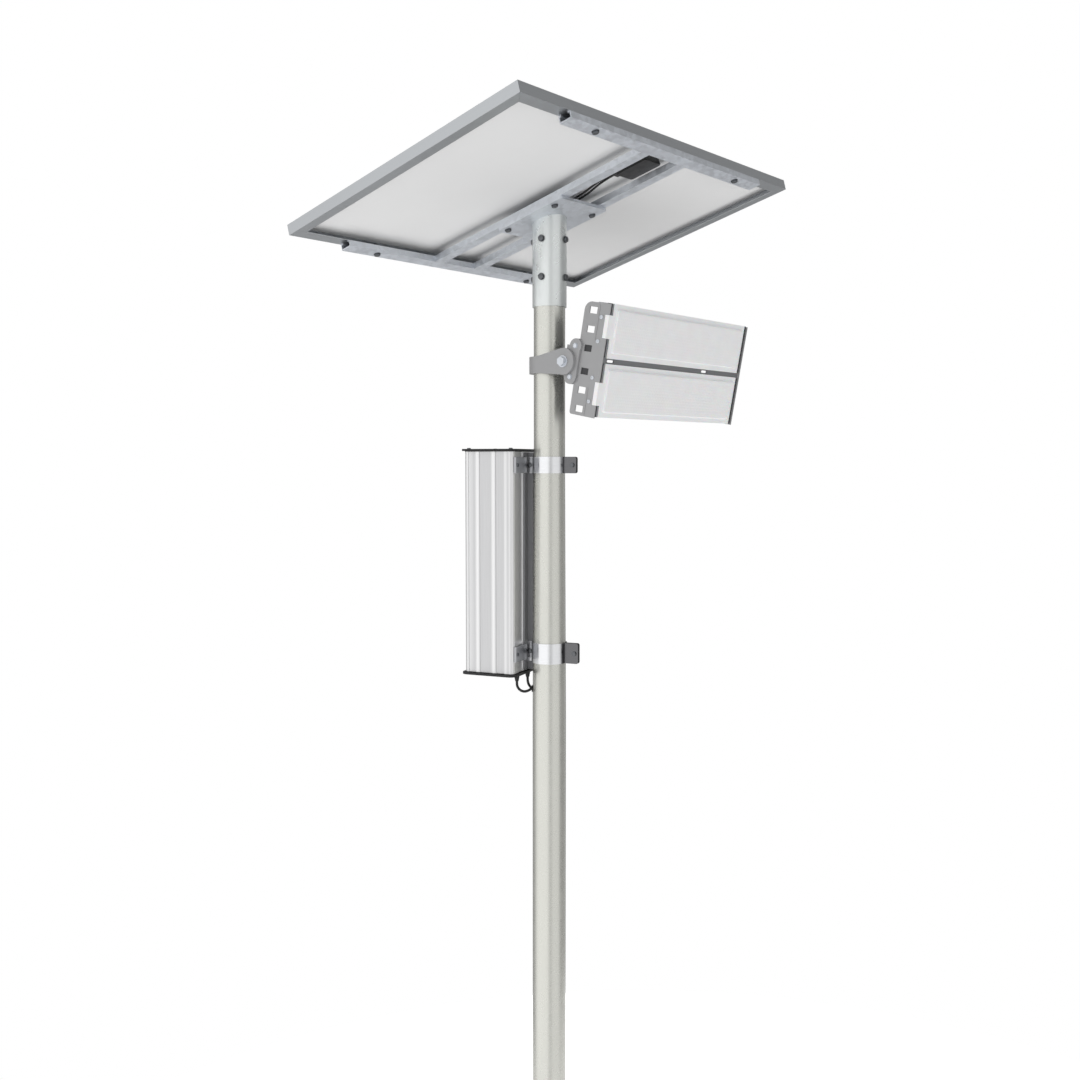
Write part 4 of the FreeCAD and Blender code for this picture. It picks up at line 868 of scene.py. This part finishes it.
# ---- Panel ----------------------------------------------------------------------------
def slab(shape, x0, x1, y0, y1, z0, z1):
    """A block in the panel's frame."""
    middle = Vector(((x0 + x1) / 2, (y0 + y1) / 2, (z0 + z1) / 2))
    size = Matrix.Diagonal((x1 - x0, y1 - y0, z1 - z0, 1.0))
    place = PANEL_FRAME @ Matrix.Translation(middle) @ size
    bmesh.ops.create_cube(shape, size=1.0, matrix=place)


def cell_spans(length, count):
    """The start and end of each cell along one side of the panel."""
    pitch = (length - 2 * CELL_MARGIN + CELL_GAP) / count
    start = -length / 2 + CELL_MARGIN
    return [(start + k * pitch, start + (k + 1) * pitch - CELL_GAP) for k in range(count)]


def make_bed(top):
    """The white film that the cells lie on."""
    edge_x = PANEL_LONG / 2 - LAMINATE_INSET
    edge_y = PANEL_SHORT / 2 - LAMINATE_INSET
    bed = bmesh.new()
    slab(bed, -edge_x, edge_x, -edge_y, edge_y, LAMINATE_LOW, top)
    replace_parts(piece_from(bed, "cell_bed", "panel_head", "backsheet"), "cell_laminate")


def make_ribbons(left, right, rows, bed_top, cell_top):
    """The ribbons along each row of cells, and those that join one row to the next."""
    left -= RIBBON_OVERHANG
    right += RIBBON_OVERHANG
    top = cell_top + RIBBON_THICK
    ribbons = bmesh.new()
    for y0, y1 in rows:
        step = (y1 - y0) / RIBBONS_PER_CELL
        for k in range(RIBBONS_PER_CELL):
            y = y0 + (k + 0.5) * step
            slab(ribbons, left, right, y - RIBBON_HALF, y + RIBBON_HALF, cell_top, top)
    for number, (first, second) in enumerate(zip(rows, rows[1:])):
        x = right if number % 2 else left
        slab(ribbons, x - JOINING_HALF, x + JOINING_HALF,
             first[0] + JOINING_INSET, second[1] - JOINING_INSET, bed_top, top)
    piece_from(ribbons, "cell_ribbons", "panel_head", "solar_cells", RIBBON)


def make_cells():
    """Rows of cells on their bed, under the glass, and the ribbons on them."""
    columns = cell_spans(PANEL_LONG, CELL_COLUMNS)
    rows = cell_spans(PANEL_SHORT, CELL_ROWS)
    bed_top = LAMINATE_LOW + CELL_BED
    cell_top = bed_top + CELL_THICK
    make_bed(bed_top)
    cells = bmesh.new()
    for x0, x1 in columns:
        for y0, y1 in rows:
            slab(cells, x0, x1, y0, y1, bed_top, cell_top)
    piece_from(cells, "solar_cells", "panel_head", "solar_cells")
    make_ribbons(columns[0][0], columns[-1][1], rows, bed_top, cell_top)


# ---- Lamp -----------------------------------------------------------------------------
def make_prisms(side):
    """Rows of low pyramids on the front of a lens, which spread its light."""
    near, far = MODULE_SPAN
    low, high = sorted((side * near, side * far))
    low += LENS_MARGIN
    high -= LENS_MARGIN
    start, end = LENS_X[0] + LENS_END_MARGIN, LENS_X[1] - LENS_END_MARGIN
    columns = round((end - start) / PRISM_PITCH)
    rows = round((high - low) / PRISM_PITCH)
    step_x = (end - start) / columns
    step_z = (high - low) / rows
    shape = bmesh.new()

    def corner(i, j, y=LENS_FRONT):
        place = Vector((start + i * step_x, y, low + j * step_z))
        return shape.verts.new(LAMP_FRAME @ place)

    grid = [[corner(i, j) for j in range(rows + 1)] for i in range(columns + 1)]
    for i in range(columns):
        for j in range(rows):
            peak = corner(i + 0.5, j + 0.5, LENS_FRONT - PRISM_RISE)
            corners = (grid[i][j], grid[i + 1][j], grid[i + 1][j + 1], grid[i][j + 1])
            for k in range(4):
                shape.faces.new((corners[k], corners[(k + 1) % 4], peak))
    name = "lens_prisms_upper" if side > 0 else "lens_prisms_lower"
    piece_from(shape, name, "lamp", "frosted_lens", sharp=PRISM_SHARP)


# ---- Studio ---------------------------------------------------------------------------
def floor_paper():
    """White paper that glows, but less in the metal's mirror images."""
    shader = Shader("floor_paper", Roughness=0.9, Emission_Color=WHITE)
    mirrored = shader.node("ShaderNodeLightPath").outputs["Is Glossy Ray"]
    shader.drive("Emission Strength", shader.between(mirrored, FLOOR_GLOW, FLOOR_MIRRORED_GLOW,
                                                     0.0, 1.0))
    shader.drive("Base Color", shader.blend(shader.noise(0.6), srgb(246, 246, 246),
                                            srgb(250, 250, 250)))
    return shader.material


def make_floor():
    shape = bmesh.new()
    bmesh.ops.create_circle(shape, cap_ends=True, segments=FLOOR_SIDES, radius=FLOOR_RADIUS)
    mesh = bpy.data.meshes.new("floor")
    shape.to_mesh(mesh)
    shape.free()
    mesh.materials.append(floor_paper())
    floor = link(bpy.data.objects.new("floor", mesh))
    floor.location.x = FLOOR_SHIFT


def make_world():
    """White to the camera; to the object, a studio with bright and dark walls."""
    world = bpy.data.worlds.new("studio")
    bpy.context.scene.world = world
    sky = Nodes(world)
    sky.nodes.clear()
    view = sky.node("ShaderNodeTexCoord").outputs["Generated"]
    angle = sky.maths("ARCTAN2", sky.part(view, "Y"), sky.part(view, "X"))
    turn = sky.maths("FRACT", sky.maths("ADD", sky.maths("DIVIDE", angle, 2 * math.pi), 1.0))
    walls = sky.steps(sky.maths("MULTIPLY", turn, 360.0), WALLS)
    steepness = sky.maths("ABSOLUTE", sky.part(view, "Z"))
    room = sky.blend(sky.between(steepness, 0.0, 1.0, *CEILING_FADE), walls, grey(CEILING))
    camera_ray = sky.node("ShaderNodeLightPath").outputs["Is Camera Ray"]
    background = sky.node("ShaderNodeBackground",
                          {"Color": sky.blend(camera_ray, room, WHITE)}).outputs[0]
    sky.node("ShaderNodeOutputWorld", {"Surface": background})


# ---- The whole object -------------------------------------------------------------------
for name, (radius, segments) in EDGES.items():
    dress(name, radius, segments)
make_hardware()
make_weld()
make_cells()
make_prisms(1)
make_prisms(-1)
for cord in cords:
    cord.data.materials.append(FINISHES["cable_sheath"])
for name, node in frame["nodes"].items():
    node.material_slots[0].material = FINISHES[NODE_SLOTS[name]]
make_floor()
make_world()
bpy.context.scene.view_settings.view_transform = "Standard"
